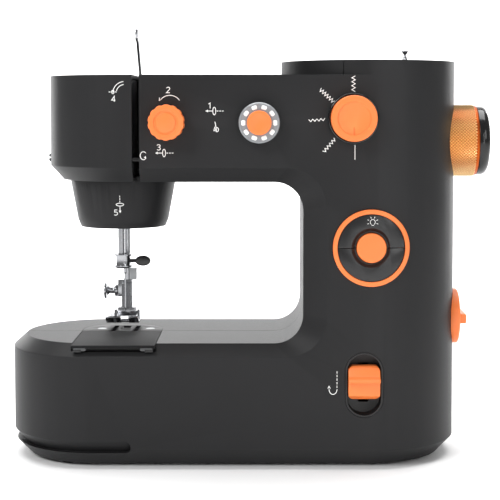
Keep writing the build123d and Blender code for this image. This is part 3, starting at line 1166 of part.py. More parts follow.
with BuildPart() as stitch_selector:
    add(stem(SELECTOR_X, SELECTOR_Z, STEM_R, STEM_DEPTH))
    with BuildSketch(FRONT.offset(GAP)):
        with Locations((SELECTOR_X, SELECTOR_Z)):
            Circle(SELECTOR_R)
    extrude(amount=10.5)
    fillet(stitch_selector.faces().sort_by(Axis.Y)[0].edges(), 0.8)
    with BuildSketch(FRONT.offset(GAP + 10.5)):
        with Locations((SELECTOR_X, SELECTOR_Z)):
            Circle(10.0)
    extrude(amount=-0.8, taper=20, mode=Mode.SUBTRACT)
    with Locations((SELECTOR_X, FRONT_Y - GAP - 9.7, SELECTOR_Z - 7.6)):
        Box(0.7, 0.8, 4.4, mode=Mode.SUBTRACT)
stitch_selector.part.label = "stitch_selector"
export_step(stitch_selector.part, "parts/stitch_selector.step")

RING_W = 2.7
CUP_DEPTH = 9.0
BUTTON_GAP = 0.35
START_R, DISH_R = 9.0, 12.2
PRESS = 1.0                     # travel of the push buttons
def column_skin(rise):
    """The column's own outline, grown by rise, at the height of the buttons."""
    with BuildPart() as skin:
        with BuildSketch(Plane.XY.offset(BUTTON_Z - 2 * BUTTON_R)):
            stadium(THROAT_X, COLUMN_X, BODY_R + rise)
        extrude(amount=4 * BUTTON_R)
    return skin.part


with BuildPart() as button_ring:
    with BuildSketch(FRONT.offset(1.6)):
        with Locations((BUTTON_X, BUTTON_Z)):
            Circle(BUTTON_R)
    extrude(amount=-1.6 - CUP_DEPTH)
    with BuildSketch(FRONT.offset(1.6)):
        with Locations((BUTTON_X, BUTTON_Z)):
            Circle(BUTTON_R - RING_W)
    extrude(amount=-CUP_DEPTH, mode=Mode.SUBTRACT)
    add(column_skin(1.6), mode=Mode.INTERSECT)
    with BuildSketch(FRONT.offset(-CUP_DEPTH + 2)):
        with Locations((BUTTON_X, BUTTON_Z), (BUTTON_X, BUTTON_Z + 16.0), (BUTTON_X, BUTTON_Z - 16.0)):
            Circle(2.0 + GAP)
    extrude(amount=-4.0, mode=Mode.SUBTRACT)
button_ring.part.label = "button_ring"
export_step(button_ring.part, "parts/button_ring.step")


def half_button(side):
    """One half of the split ring button: side +1 is the upper half, -1 the lower."""
    with BuildPart() as button:
        with BuildSketch(FRONT.offset(1.0)):
            with Locations((BUTTON_X, BUTTON_Z)):
                Circle(BUTTON_R - RING_W - BUTTON_GAP)
                Circle(START_R + BUTTON_GAP, mode=Mode.SUBTRACT)
            with Locations((BUTTON_X, BUTTON_Z - side * (BUTTON_R - BUTTON_GAP / 2))):
                Rectangle(3 * BUTTON_R, 2 * BUTTON_R, mode=Mode.SUBTRACT)
        extrude(amount=-5.0)
        # the dish that leads the finger to the centre button
        with BuildSketch(FRONT.offset(1.0)):
            with Locations((BUTTON_X, BUTTON_Z)):
                Circle(DISH_R)
        extrude(amount=-2.0, taper=45, mode=Mode.SUBTRACT)
        add(column_skin(1.0), mode=Mode.INTERSECT)
        with BuildSketch(FRONT.offset(-3.0)):
            with Locations((BUTTON_X, BUTTON_Z + side * 16.0)):
                Circle(2.0)
        extrude(amount=-CUP_DEPTH - 1.0)
    return button.part


with BuildPart() as light_button:
    add(half_button(1))
light_button.part.label = "light_button"
export_step(light_button.part, "parts/light_button.step")

with BuildPart() as speed_button:
    add(half_button(-1))
speed_button.part.label = "speed_button"
export_step(speed_button.part, "parts/speed_button.step")

with BuildPart() as start_button:
    with BuildSketch(FRONT.offset(1.2)):
        with Locations((BUTTON_X, BUTTON_Z)):
            Circle(START_R)
    extrude(amount=-6.0)
    fillet(start_button.faces().sort_by(Axis.Y)[0].edges(), 0.8)
    with BuildSketch(FRONT.offset(-4.0)):
        with Locations((BUTTON_X, BUTTON_Z)):
            Circle(2.0)
    extrude(amount=-CUP_DEPTH)
start_button.part.label = "start_button"
export_step(start_button.part, "parts/start_button.step")

BOARD_Y = FRONT_Y + 16.5
with BuildPart() as circuit_board:
    with Locations((BUTTON_X, BOARD_Y, BUTTON_Z)):
        Box(38.0, 1.6, 56.0, align=(Align.CENTER, Align.MIN, Align.CENTER))
    with Locations((BUTTON_X, BOARD_Y + 1.6, BUTTON_Z)):
        with GridLocations(9.0, 0, 4, 1):
            Box(5.0, 4.0, 9.0, align=(Align.CENTER, Align.MIN, Align.CENTER))
    with Locations((BUTTON_X, BOARD_Y, BUTTON_Z), (BUTTON_X, BOARD_Y, BUTTON_Z + 16.0),
                   (BUTTON_X, BOARD_Y, BUTTON_Z - 16.0)):
        Box(6.0, 1.0, 6.0, align=(Align.CENTER, Align.MAX, Align.CENTER))
circuit_board.part.label = "circuit_board"
export_step(circuit_board.part, "parts/circuit_board.step")

WELL_DEPTH = 9.0
REVERSE_TRAVEL = 7.0
LEVER_W, LEVER_H, LEVER_CORNER_R = 19.2, 20.4, 3.2
LEVER_REST_Z = REVERSE_Z + 1.2
with BuildPart() as reverse_bezel:
    extrude(pill(FRONT, REVERSE_X, REVERSE_Z, REVERSE_W, REVERSE_H), amount=-WELL_DEPTH - 1.5)
    extrude(pill(FRONT, REVERSE_X, REVERSE_Z, REVERSE_W - 2.4, REVERSE_H - 2.4), amount=-WELL_DEPTH,
            mode=Mode.SUBTRACT)
    with BuildSketch(FRONT):
        with Locations((REVERSE_X, REVERSE_Z)):
            Rectangle(6.0, 24.0)
    extrude(amount=-2 * WELL_DEPTH, mode=Mode.SUBTRACT)
reverse_bezel.part.label = "reverse_bezel"
export_step(reverse_bezel.part, "parts/reverse_bezel.step")

with BuildPart() as reverse_lever:
    with BuildSketch(side_plane(REVERSE_X - LEVER_W / 2)):
        with BuildLine():
            low_z, top_z = LEVER_REST_Z - LEVER_H / 2, LEVER_REST_Z + LEVER_H / 2
            Polyline((FRONT_Y + 7.5, low_z), (FRONT_Y + 2.0, low_z), (FRONT_Y - 1.0, low_z + 2.5),
                     (FRONT_Y - 1.5, LEVER_REST_Z), (FRONT_Y - 5.0, LEVER_REST_Z + 0.8),
                     (FRONT_Y - 5.4, LEVER_REST_Z + 3.0), (FRONT_Y - 2.4, LEVER_REST_Z + 4.2),
                     (FRONT_Y + 1.0, top_z - 1.0), (FRONT_Y + 2.0, top_z), (FRONT_Y + 7.5, top_z),
                     close=True)
        make_face()
    extrude(amount=LEVER_W)
    with BuildSketch(FRONT.offset(-7.0)):
        with Locations((REVERSE_X, REVERSE_Z)):
            Rectangle(5.0, 8.0)
    extrude(amount=-WELL_DEPTH)
    with BuildPart(mode=Mode.PRIVATE) as pad:
        with BuildSketch(FRONT.offset(WELL_DEPTH)):
            with Locations((REVERSE_X, LEVER_REST_Z)):
                lever_outline = Rectangle(LEVER_W, LEVER_H)
            fillet(lever_outline.vertices().group_by(Axis.Z)[0], LEVER_CORNER_R)
        extrude(amount=-4 * WELL_DEPTH)
    add(pad.part, mode=Mode.INTERSECT)
reverse_lever.part.label = "reverse_lever"
export_step(reverse_lever.part, "parts/reverse_lever.step")

# ---------------------------------------------------------------- side and top pieces
with BuildPart() as speed_knob:
    with BuildSketch(side_plane(SPEED_SEAT_X + GAP)):
        with Locations((MID_Y, SPEED_Z)):
            Circle(SPEED_R)
    extrude(amount=6.2)
    chamfer(speed_knob.faces().sort_by(Axis.X)[-1].edges(), 1.0)
    with Locations((SPEED_SEAT_X + GAP + 6.2, MID_Y, SPEED_Z)):
        Box(4.2, 2 * SPEED_R - 6.0, 6.0, align=(Align.MIN, Align.CENTER, Align.CENTER))
    fillet(speed_knob.faces().sort_by(Axis.X)[-1].edges(), 1.2)
    with BuildSketch(side_plane(SPEED_SEAT_X + GAP)):
        with Locations((MID_Y, SPEED_Z)):
            Circle(3.0)
    extrude(amount=-8.0)
speed_knob.part.label = "speed_knob"
export_step(speed_knob.part, "parts/speed_knob.step")

SPOOL_TOP_Z = 256.4
with BuildPart() as spool_pin:
    with BuildSketch(upright(SPOOL_X, MID_Y)):
        with BuildLine():
            Polyline((0, SHAFT_Z + 22.0), (SPOOL_R, SHAFT_Z + 22.0), (SPOOL_R, SPOOL_TOP_Z - 5.2),
                     (1.0, SPOOL_TOP_Z - 3.6), (1.0, SPOOL_TOP_Z - 2.4), (2.2, SPOOL_TOP_Z - 0.7),
                     (1.8, SPOOL_TOP_Z), (0, SPOOL_TOP_Z), close=True)
        make_face()
    revolve(axis=vertical(SPOOL_X, MID_Y))
spool_pin.part.label = "spool_pin"
export_step(spool_pin.part, "parts/spool_pin.step")

with BuildPart() as side_thread_cutter:
    with Locations((ARM_X - BODY_R + 1.6, MID_Y, ARM_EDGE_Z + 4.4)):
        Box(6.2, 6.0, 5.0, align=(Align.CENTER, Align.CENTER, Align.CENTER))
    fillet(side_thread_cutter.edges().filter_by(Axis.Y).sort_by(Axis.X)[:2], 1.0)
    with Locations((ARM_X - BODY_R - 0.9, MID_Y, ARM_EDGE_Z + 4.4)):
        Box(2.0, 10.0, 0.8, mode=Mode.SUBTRACT)
side_thread_cutter.part.label = "side_thread_cutter"
export_step(side_thread_cutter.part, "parts/side_thread_cutter.step")

for node, socket_x, bore_r, pin_r in (("power_socket", SOCKET_XS[1], 2.8, 1.0),
                                      ("pedal_socket", SOCKET_XS[0], 1.8, 0.0)):
    with BuildPart() as socket:
        with BuildSketch(REAR):
            with Locations((socket_x, SOCKET_Z)):
                Circle(SOCKET_R)
        extrude(amount=13.0)
        with BuildSketch(REAR):
            with Locations((socket_x, SOCKET_Z)):
                Circle(bore_r)
                if pin_r:
                    Circle(pin_r, mode=Mode.SUBTRACT)
        extrude(amount=11.0, mode=Mode.SUBTRACT)
    socket.part.label = node
    export_step(socket.part, f"parts/{node}.step")
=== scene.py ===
"""Looks of a compact free-arm sewing machine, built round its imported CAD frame.

Laid out as an add-on: properties hold the sizes and colours, one operator makes each group of
pieces, and a panel lists them. Everything is in metres, in the frame of the CAD.
"""

import json
import math

import bmesh
import bpy
from bpy.props import FloatProperty, FloatVectorProperty, IntProperty, PointerProperty
from mathutils import Matrix, Vector


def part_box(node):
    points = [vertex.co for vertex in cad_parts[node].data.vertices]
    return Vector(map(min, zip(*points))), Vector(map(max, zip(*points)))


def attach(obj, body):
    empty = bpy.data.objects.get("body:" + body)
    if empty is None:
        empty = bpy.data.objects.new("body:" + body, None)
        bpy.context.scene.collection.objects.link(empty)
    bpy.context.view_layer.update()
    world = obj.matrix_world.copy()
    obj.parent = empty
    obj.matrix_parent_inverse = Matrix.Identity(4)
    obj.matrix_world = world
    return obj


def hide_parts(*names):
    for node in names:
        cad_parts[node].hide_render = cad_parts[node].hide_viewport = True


bl_info = {
    "name": "Sewing machine looks",
    "version": (1, 0, 0),
    "blender": (4, 5, 0),
    "location": "View3D > Sidebar > Sewing",
    "description": "Finishes, prints and studio for a compact sewing machine",
    "category": "Object",
}

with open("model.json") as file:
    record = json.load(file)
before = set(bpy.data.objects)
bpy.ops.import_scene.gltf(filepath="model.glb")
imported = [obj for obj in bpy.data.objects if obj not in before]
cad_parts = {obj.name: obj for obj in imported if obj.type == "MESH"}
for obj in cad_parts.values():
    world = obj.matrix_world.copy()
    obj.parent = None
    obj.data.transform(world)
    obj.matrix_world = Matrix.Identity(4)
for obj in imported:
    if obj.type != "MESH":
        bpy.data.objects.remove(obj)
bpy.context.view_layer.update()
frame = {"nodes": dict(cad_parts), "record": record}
SLOT_OF = {part["node"]: part["material_slot"] for part in frame["record"]["subparts"]}
BODY_OF = {node: body for body, nodes in frame["record"]["behaviour"]["bodies"].items()
           for node in nodes}

MM = 0.001
SHELL_LOW, SHELL_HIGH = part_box("front_shell")
REAR_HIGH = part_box("rear_shell")[1]
FRONT_Y = SHELL_LOW.y                                   # the casing's flat front face
MID_Y = (FRONT_Y + REAR_HIGH.y) / 2
BODY_R = MID_Y - FRONT_Y                                # radius of the round ends
COLUMN_X = SHELL_HIGH.x - BODY_R                        # axis of the round column
ARM_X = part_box("face_cover")[0].x + BODY_R              # axis of the arm's round end


# ------------------------------------------------------------------ materials
BROAD_MM = 40                       # size of the slow colour patches on every surface
SMOOTHEST = 0.02                    # no finish is glossier than this roughness
WORN_FROM, WORN_TO = 0.54, 0.66     # how pointed an edge is where rubbing starts and is full
WORN_GAIN, WORN_LIFT = 2.2, 0.02    # how much paler a rubbed edge is than the face


def linear(code):
    """An sRGB hex colour as the linear values that shaders use."""
    values = [int(code[i:i + 2], 16) / 255 for i in (0, 2, 4)]
    return tuple(v / 12.92 if v <= 0.04045 else ((v + 0.055) / 1.055) ** 2.4
                 for v in values) + (1.0,)


def scaled(shade, gain, lift=0.0):
    """A linear colour made lighter or darker, without its alpha."""
    return tuple(min(1.0, c * gain + lift) for c in shade[:3]) + (1.0,)


def add_node(tree, kind, links=None, inputs=None, **settings):
    """A node with its settings, input values and incoming links {input: (node, output)}."""
    node = tree.nodes.new(kind)
    for key, value in settings.items():
        setattr(node, key, value)
    for key, value in (inputs or {}).items():
        node.inputs[key].default_value = value
    for key, (source, output) in (links or {}).items():
        tree.links.new(source.outputs[output], node.inputs[key])
    return node


def surface(name, colour, roughness, metallic=0.0, grain_mm=0.5, grain=0.1, tint=0.12,
            rough_spread=0.08, round_mm=0.0, stretch=(1.0, 1.0, 1.0), wear=0.0, **extra):
    """A Principled material with grain bump, slow colour change, uneven roughness and soft edges."""
    if name in bpy.data.materials:
        return bpy.data.materials[name]
    material = bpy.data.materials.new(name)
    material.use_nodes = True
    tree = material.node_tree
    shader = tree.nodes["Principled BSDF"]
    shader.inputs["Metallic"].default_value = metallic
    for key, value in extra.items():
        shader.inputs[key.replace("_", " ")].default_value = value
    where = add_node(tree, "ShaderNodeTexCoord")
    place = add_node(tree, "ShaderNodeMapping", {"Vector": (where, "Object")}, {"Scale": stretch})
    fine = add_node(tree, "ShaderNodeTexNoise", {"Vector": (place, "Vector")},
                    {"Scale": 1 / (grain_mm * MM), "Detail": 3.0, "Roughness": 0.6})
    broad = add_node(tree, "ShaderNodeTexNoise", {"Vector": (where, "Object")},
                     {"Scale": 1 / (BROAD_MM * MM), "Detail": 4.0, "Roughness": 0.55})
    shade = linear(colour)
    # sockets 6 and 7 of a colour mix are its two colours, and output 2 is the result
    mix = add_node(tree, "ShaderNodeMix", {"Factor": (broad, "Fac")},
                   {6: scaled(shade, 1 - tint), 7: scaled(shade, 1 + tint)}, data_type="RGBA")
    if wear:
        # rubbed edges, a little paler than the face
        geometry = add_node(tree, "ShaderNodeNewGeometry")
        edge = add_node(tree, "ShaderNodeMapRange", {"Value": (geometry, "Pointiness")},
                        {"From Min": WORN_FROM, "From Max": WORN_TO, "To Max": wear})
        mix = add_node(tree, "ShaderNodeMix", {"Factor": (edge, "Result"), 6: (mix, 2)},
                       {7: scaled(shade, WORN_GAIN, WORN_LIFT)}, data_type="RGBA")
    tree.links.new(mix.outputs[2], shader.inputs["Base Color"])
    rough = add_node(tree, "ShaderNodeMapRange", {"Value": (fine, "Fac")},
                     {"To Min": max(SMOOTHEST, roughness - rough_spread),
                      "To Max": roughness + rough_spread})
    tree.links.new(rough.outputs["Result"], shader.inputs["Roughness"])
    bump = add_node(tree, "ShaderNodeBump", {"Height": (fine, "Fac")},
                    {"Strength": grain, "Distance": grain_mm * MM * 0.5})
    if round_mm:
        soft = add_node(tree, "ShaderNodeBevel", None, {"Radius": round_mm * MM}, samples=4)
        tree.links.new(soft.outputs["Normal"], bump.inputs["Normal"])
    tree.links.new(bump.outputs["Normal"], shader.inputs["Normal"])
    return material


def casing_abs():
    """Moulded ABS from a spark-eroded tool: charcoal, dry looking, with a fine even grain."""
    return surface("moulded_abs_spark_eroded", hex_of("casing"), 0.46, grain_mm=0.45, grain=0.3,
                   tint=0.08, rough_spread=0.06, round_mm=0.7, wear=0.2, Specular_IOR_Level=0.2)


def inner_abs():
    """Moulded ABS, plain tool: near black and slightly satin, seen in gaps and recesses."""
    return surface("moulded_abs_black", "161617", 0.45, grain_mm=0.6, grain=0.15, round_mm=0.3)


def matt_abs_painted_reflection():
    """Moulded ABS, matt, with a very wide highlight: a little darker than the bed round it, a painted
    dark reflection of the needle cone and foot.
    """
    return surface("moulded_abs_matt_black_painted_reflection", "1A1A1B", 0.68, grain_mm=0.45, grain=0.2,
                   round_mm=0.3, Specular_IOR_Level=0.15)


def satin_abs():
    """Moulded ABS, fine satin: near black with broad soft highlights on the dished rim."""
    return surface("moulded_abs_satin_black", "1B1B1C", 0.3, grain_mm=0.4, grain=0.1, round_mm=0.3)


def gloss_abs():
    """Polished ABS: deep black with a clear, slightly wavy reflection."""
    return surface("polished_abs_black", "111112", 0.16, grain_mm=1.5, grain=0.03, tint=0.1,
                   rough_spread=0.04, round_mm=0.3)


def accent_abs():
    """Moulded ABS in the accent colour: satin, with the faint flow marks of a small moulding."""
    return surface("moulded_abs_orange", hex_of("accent"), 0.42, grain_mm=0.5, grain=0.12, tint=0.07,
                   rough_spread=0.06, round_mm=0.35, wear=0.12)


def anodised():
    """Anodised aluminium, diamond knurled: warm copper orange with bright facets."""
    return surface("anodised_aluminium_knurled", hex_of("wheel"), 0.3, metallic=0.9, grain_mm=0.4,
                   grain=0.08, tint=0.14, rough_spread=0.08, wear=0.2)


def anodised_painted_shade():
    """Anodised aluminium in the knurl's valleys: the same orange made darker, as painted shade where
    less light gets in.
    """
    return surface("anodised_aluminium_painted_shade", "B4521A", 0.4, metallic=0.9, grain_mm=0.4, grain=0.1)


def blackened():
    """Blackened steel: dull dark grey, for the small plate screws."""
    return surface("blackened_steel", "3C3C3D", 0.42, metallic=0.8, grain_mm=0.3, grain=0.15)


def chromed():
    """Chromed steel: mirror bright with fine polishing lines along the bar."""
    return surface("chromed_steel", "A2A3A6", 0.2, metallic=1.0, grain_mm=0.5, grain=0.05, tint=0.08,
                   rough_spread=0.06, stretch=(1.0, 1.0, 0.08))


def brushed():
    """Brushed steel: grey with short even scratches."""
    return surface("brushed_steel", "9A9B9D", 0.3, metallic=1.0, grain_mm=0.25, grain=0.12, tint=0.08,
                   rough_spread=0.1, stretch=(0.1, 1.0, 1.0))


def cast_metal():
    """Die-cast aluminium: pale grey with a coarse cast skin."""
    return surface("die_cast_aluminium", "A6A7A8", 0.5, metallic=1.0, grain_mm=0.8, grain=0.3)


def brass_metal():
    """Turned brass: warm yellow with faint turning rings."""
    return surface("turned_brass", "C9A458", 0.28, metallic=1.0, grain_mm=0.3, grain=0.1)


def rubber_soft():
    """Moulded rubber: matt black with a dusty bloom."""
    return surface("moulded_rubber", "1B1B1B", 0.75, grain_mm=0.7, grain=0.25, tint=0.2)


def pale_acetal():
    """Moulded acetal: milky pale grey, waxy."""
    return surface("moulded_acetal", "B9BBBD", 0.38, grain_mm=0.6, grain=0.08, tint=0.05, round_mm=0.3)


def dial_acrylic():
    """Moulded acrylic, smoked grey: a glossy clear coat over a soft grey body."""
    return surface("moulded_acrylic_smoked", "8E9194", 0.25, grain_mm=0.8, grain=0.04, tint=0.05,
                   rough_spread=0.04, round_mm=0.3, Coat_Weight=0.6)


def clear_acrylic():
    """Moulded acrylic, frosted: a pale diffuser that glows softly."""
    return surface("moulded_acrylic_frosted", "E8ECEF", 0.3, grain_mm=0.6, grain=0.1, tint=0.03,
                   Transmission_Weight=0.4)


def pale_acetal_dark():
    """Moulded acetal, grey: small grips that catch a little light."""
    return surface("moulded_acetal_grey", "4A4B4C", 0.4, grain_mm=0.5, grain=0.08, round_mm=0.2)


def board_laminate():
    """Glass-epoxy laminate under solder lacquer: glossy green."""
    return surface("lacquered_circuit_laminate", "1D5A33", 0.3, grain_mm=1.5, grain=0.1, tint=0.2)


def white_ink():
    """Pad-printed ink: a thin matt white with slightly uneven cover."""
    return surface("pad_printed_ink_white", "F2F2F0", 0.55, grain_mm=0.2, grain=0.1, tint=0.03)


def hex_of(which):
    """A colour property of the scene as an sRGB hex code."""
    values = getattr(bpy.context.scene.sewing_finish, which + "_colour")
    return "".join(f"{round(v * 255):02X}" for v in values)


MATERIAL_OF = {
    "body_plastic": casing_abs, "dark_plastic": inner_abs, "gloss_black": gloss_abs,
    "orange_plastic": accent_abs, "orange_anodised": anodised, "dial_grey": dial_acrylic,
    "chrome": chromed, "steel": brushed, "cast_frame": cast_metal, "brass": brass_metal,
    "rubber": rubber_soft, "pale_plastic": pale_acetal, "clear": clear_acrylic,
    "board": board_laminate,
}


def finish_of(node):
    """The material of a CAD node's slot."""
    return MATERIAL_OF[SLOT_OF[node]]()


# ------------------------------------------------------------------ mesh helpers
WELD_MM = 0.002                     # corners nearer than this become one
FLAT_DEGREES = 0.3                  # faces that meet flatter than this become one
CRISP_DEGREES = 32.0                # sharper edges than this keep a crisp shade
BEVEL_DEGREES = 30.0                # sharper edges than this are rounded


def dress(mesh, material):
    """Gives a mesh one material."""
    mesh.materials.clear()
    mesh.materials.append(material)


def plain_mesh(shape, name):
    """A mesh from an edited shape, which is freed."""
    mesh = bpy.data.meshes.new(name)
    shape.to_mesh(mesh)
    shape.free()
    return mesh


def link(name, mesh, material):
    """A new object at the origin, with one material."""
    dress(mesh, material)
    piece = bpy.data.objects.new(name, mesh)
    bpy.context.scene.collection.objects.link(piece)
    return piece


def settle(piece, node, replaced=None):
    """Rides a piece on its node's body, and hides what it stands for."""
    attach(piece, BODY_OF[node])
    if replaced:
        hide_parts(*replaced)
    return piece


def evaluated_mesh(piece):
    """A plain mesh of the piece with its modifiers worked in."""
    graph = bpy.context.evaluated_depsgraph_get()
    return bpy.data.meshes.new_from_object(piece.evaluated_get(graph), depsgraph=graph)


def smooth(mesh, angle=CRISP_DEGREES):
    """Smooth shading with edges sharper than the angle kept crisp."""
    mesh.polygons.foreach_set("use_smooth", [True] * len(mesh.polygons))
    mesh.set_sharp_from_angle(angle=math.radians(angle))


def refine(node, edge_mm, material=None):
    """A welded copy of a CAD node with its edges rounded, which then stands for the node."""
    material = material or finish_of(node)
    mesh = frame["nodes"][node].data.copy()
    mesh.name = node + "_finish"
    shape = bmesh.new()
    shape.from_mesh(mesh)
    bmesh.ops.remove_doubles(shape, verts=shape.verts, dist=WELD_MM * MM)
    bmesh.ops.dissolve_limit(shape, angle_limit=math.radians(FLAT_DEGREES), verts=shape.verts,
                             edges=shape.edges)
    shape.to_mesh(mesh)
    shape.free()
    piece = link(node + "_finish", mesh, material)
    if edge_mm:
        bevel = piece.modifiers.new("edges", "BEVEL")
        bevel.width = edge_mm * MM
        bevel.segments = 2
        bevel.limit_method = "ANGLE"
        bevel.angle_limit = math.radians(BEVEL_DEGREES)
        bevel.harden_normals = False
        mesh = evaluated_mesh(piece)
        piece.modifiers.clear()
        piece.data = mesh
        dress(mesh, material)
    smooth(piece.data)
    return settle(piece, node, [node])


def paint(node, material=None):
    """A CAD node that keeps its own mesh and gets a real material."""
    dress(frame["nodes"][node].data, material or finish_of(node))


def revolved(name, outline, origin, axis, material, steps=96):
    """A closed turned piece: outline is (radius, height) pairs along the axis."""
    shape = bmesh.new()
    side = axis.orthogonal().normalized()
    other = axis.cross(side)
    rings = []
    turns = [2 * math.pi * i / steps for i in range(steps)]
    for radius, height in outline:
        middle = origin + axis * height
        if radius <= 0:
            rings.append([shape.verts.new(middle)])
            continue
        rings.append([shape.verts.new(middle + (side * math.cos(t) + other * math.sin(t)) * radius)
                      for t in turns])
    for low, high in zip(rings, rings[1:]):
        for i in range(steps):
            j = (i + 1) % steps
            if len(low) == 1:
                shape.faces.new((low[0], high[j], high[i]))
            elif len(high) == 1:
                shape.faces.new((low[i], low[j], high[0]))
            else:
                shape.faces.new((low[i], low[j], high[j], high[i]))
    bmesh.ops.recalc_face_normals(shape, faces=shape.faces)
    mesh = plain_mesh(shape, name)
    smooth(mesh)
    return link(name, mesh, material)


# ------------------------------------------------------------------ printed symbols
CONE_LOW, CONE_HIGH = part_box("needle_cone")
CONE_SLOPE = 0.182                  # how fast the needle cone narrows downwards
STROKE_MM, THIN_STROKE_MM = 0.42, 0.3
INK_LIFT_MM, INK_THICK_MM = 0.05, 0.08
INK_STEP_MM = 0.8                   # a ribbon follows a round surface in steps of this length
SHARPEST_TURN = 0.35                # keeps a ribbon's corner from spiking where it turns back
HALF_DIGIT = 0.3                    # half a numeral's width, in its heights
# strokes of the numerals, in shares of their height
GLYPHS = {
    "1": ((0.1, 0.78), (0.4, 1.0), (0.4, 0.0)),
    "2": ((0.0, 0.8), (0.12, 0.95), (0.3, 1.0), (0.5, 0.95), (0.6, 0.78), (0.55, 0.6),
          (0.0, 0.0), (0.62, 0.0)),
    "3": ((0.0, 0.88), (0.2, 1.0), (0.45, 0.98), (0.58, 0.8), (0.5, 0.6), (0.28, 0.54),
          (0.52, 0.46), (0.62, 0.25), (0.5, 0.05), (0.2, 0.0), (0.0, 0.12)),
    "4": ((0.5, 0.0), (0.5, 1.0), (0.0, 0.3), (0.7, 0.3)),
    "5": ((0.58, 1.0), (0.1, 1.0), (0.05, 0.56), (0.32, 0.62), (0.56, 0.5), (0.6, 0.22),
          (0.42, 0.02), (0.12, 0.0), (0.0, 0.1)),
}


def outer_y(x, z):
    """The casing's front surface, or the needle cone's below the arm, at x, z in millimetres."""
    x, z = x * MM, z * MM
    if z < CONE_HIGH.z and x < CONE_HIGH.x:
        radius = (CONE_HIGH.x - CONE_LOW.x) / 2 - CONE_SLOPE * (CONE_HIGH.z - z)
        return MID_Y - math.sqrt(max(0.0, radius**2 - (x - (CONE_LOW.x + CONE_HIGH.x) / 2) ** 2))
    aside = max(0.0, ARM_X - x, x - COLUMN_X)
    return MID_Y - math.sqrt(BODY_R**2 - aside**2)


def digit(text, x, z, high=3.3):
    """The strokes of a numeral whose middle is at x, z."""
    return [[(x + (u - HALF_DIGIT) * high, z + (v - 0.5) * high) for u, v in GLYPHS[text]]]


def zigzag(start, end, teeth, swing):
    """A zigzag stitch symbol from start to end."""
    dx, dz = end[0] - start[0], end[1] - start[1]
    size = math.hypot(dx, dz)
    steps = 2 * teeth
    return [[(start[0] + dx * i / steps - dz / size * swing * (-1) ** i,
              start[1] + dz * i / steps + dx / size * swing * (-1) ** i) for i in range(steps + 1)]]


def arc(x, z, wide, high, first=0, last=360, steps=20):
    """An elliptical arc between two angles in degrees."""
    turns = [math.radians(first + (last - first) * i / steps) for i in range(steps + 1)]
    return [[(x + wide * math.cos(t), z + high * math.sin(t)) for t in turns]]


def head(x, z, heading, size=1.3):
    """An arrow head whose tip is at x, z and points along the heading in degrees."""
    back = [math.radians(heading + 180 + side) for side in (-28, 28)]
    ends = [(x + size * math.cos(a), z + size * math.sin(a)) for a in back]
    return [[ends[0], (x, z), ends[1]]]


def dashes(start, end, count, full=0.65):
    """A dashed line, each dash filling that share of its pitch, with a whole dash at each end."""
    lines = []
    for i in range(count):
        span = [(i + k) / (count - 1 + full) for k in (0.0, full)]
        lines.append([(start[0] + (end[0] - start[0]) * t, start[1] + (end[1] - start[1]) * t)
                      for t in span])
    return lines


def radial(x, z, degrees, radii):
    """The points at those radii from x, z, at an angle in degrees."""
    c, s = math.cos(math.radians(degrees)), math.sin(math.radians(degrees))
    return [(x + radius * c, z + radius * s) for radius in radii]


def guide_sign(x, z, turn=0):
    """A thread guide: an arrow that passes an eye, then dashes."""
    parts = ([[(-4.2, 0), (-1.2, 0)]] + head(-4.9, 0, 180) + arc(0, 0, 0.9, 2.3)
             + dashes((1.4, 0), (5.6, 0), 3))
    c, s = math.cos(math.radians(turn)), math.sin(math.radians(turn))
    return [[(x + u * c - v * s, z + u * s + v * c) for u, v in line] for line in parts]


def ink(name, lines, width, surface_y):
    """Flat ribbons along the lines, laid on the surface, as one thin closed mesh."""
    shape = bmesh.new()
    for line in lines:
        path = []
        for (ax, az), (bx, bz) in zip(line, line[1:]):
            parts = max(1, math.ceil(math.hypot(bx - ax, bz - az) / INK_STEP_MM))
            path += [(ax + (bx - ax) * i / parts, az + (bz - az) * i / parts)
                     for i in range(parts)]
        path.append(line[-1])
        rows = []
        for i, (x, z) in enumerate(path):
            before, after = path[max(0, i - 1)], path[min(len(path) - 1, i + 1)]
            # at either end of the line one of these has no length
            u = Vector((x - before[0], z - before[1])).normalized()
            v = Vector((after[0] - x, after[1] - z)).normalized()
            along = (u + v).normalized() if (u + v).length > 0.05 else u
            reach = width / 2 / max(SHARPEST_TURN, abs(along.dot(v if v.length else u)))
            side = Vector((-along.y, along.x)) * reach
            spots = [(x + k * side.x, z + k * side.y) for k in (-1, 1)]
            rows.append([shape.verts.new((px * MM, surface_y(px, pz) - INK_LIFT_MM * MM, pz * MM))
                         for px, pz in spots])
        for one, two in zip(rows, rows[1:]):
            shape.faces.new((one[0], two[0], two[1], one[1]))
    bmesh.ops.recalc_face_normals(shape, faces=shape.faces)
    for face in shape.faces:
        if face.normal.y > 0:
            face.normal_flip()
    bmesh.ops.solidify(shape, geom=shape.faces[:], thickness=INK_THICK_MM * MM)
    return link(name, plain_mesh(shape, name), white_ink())


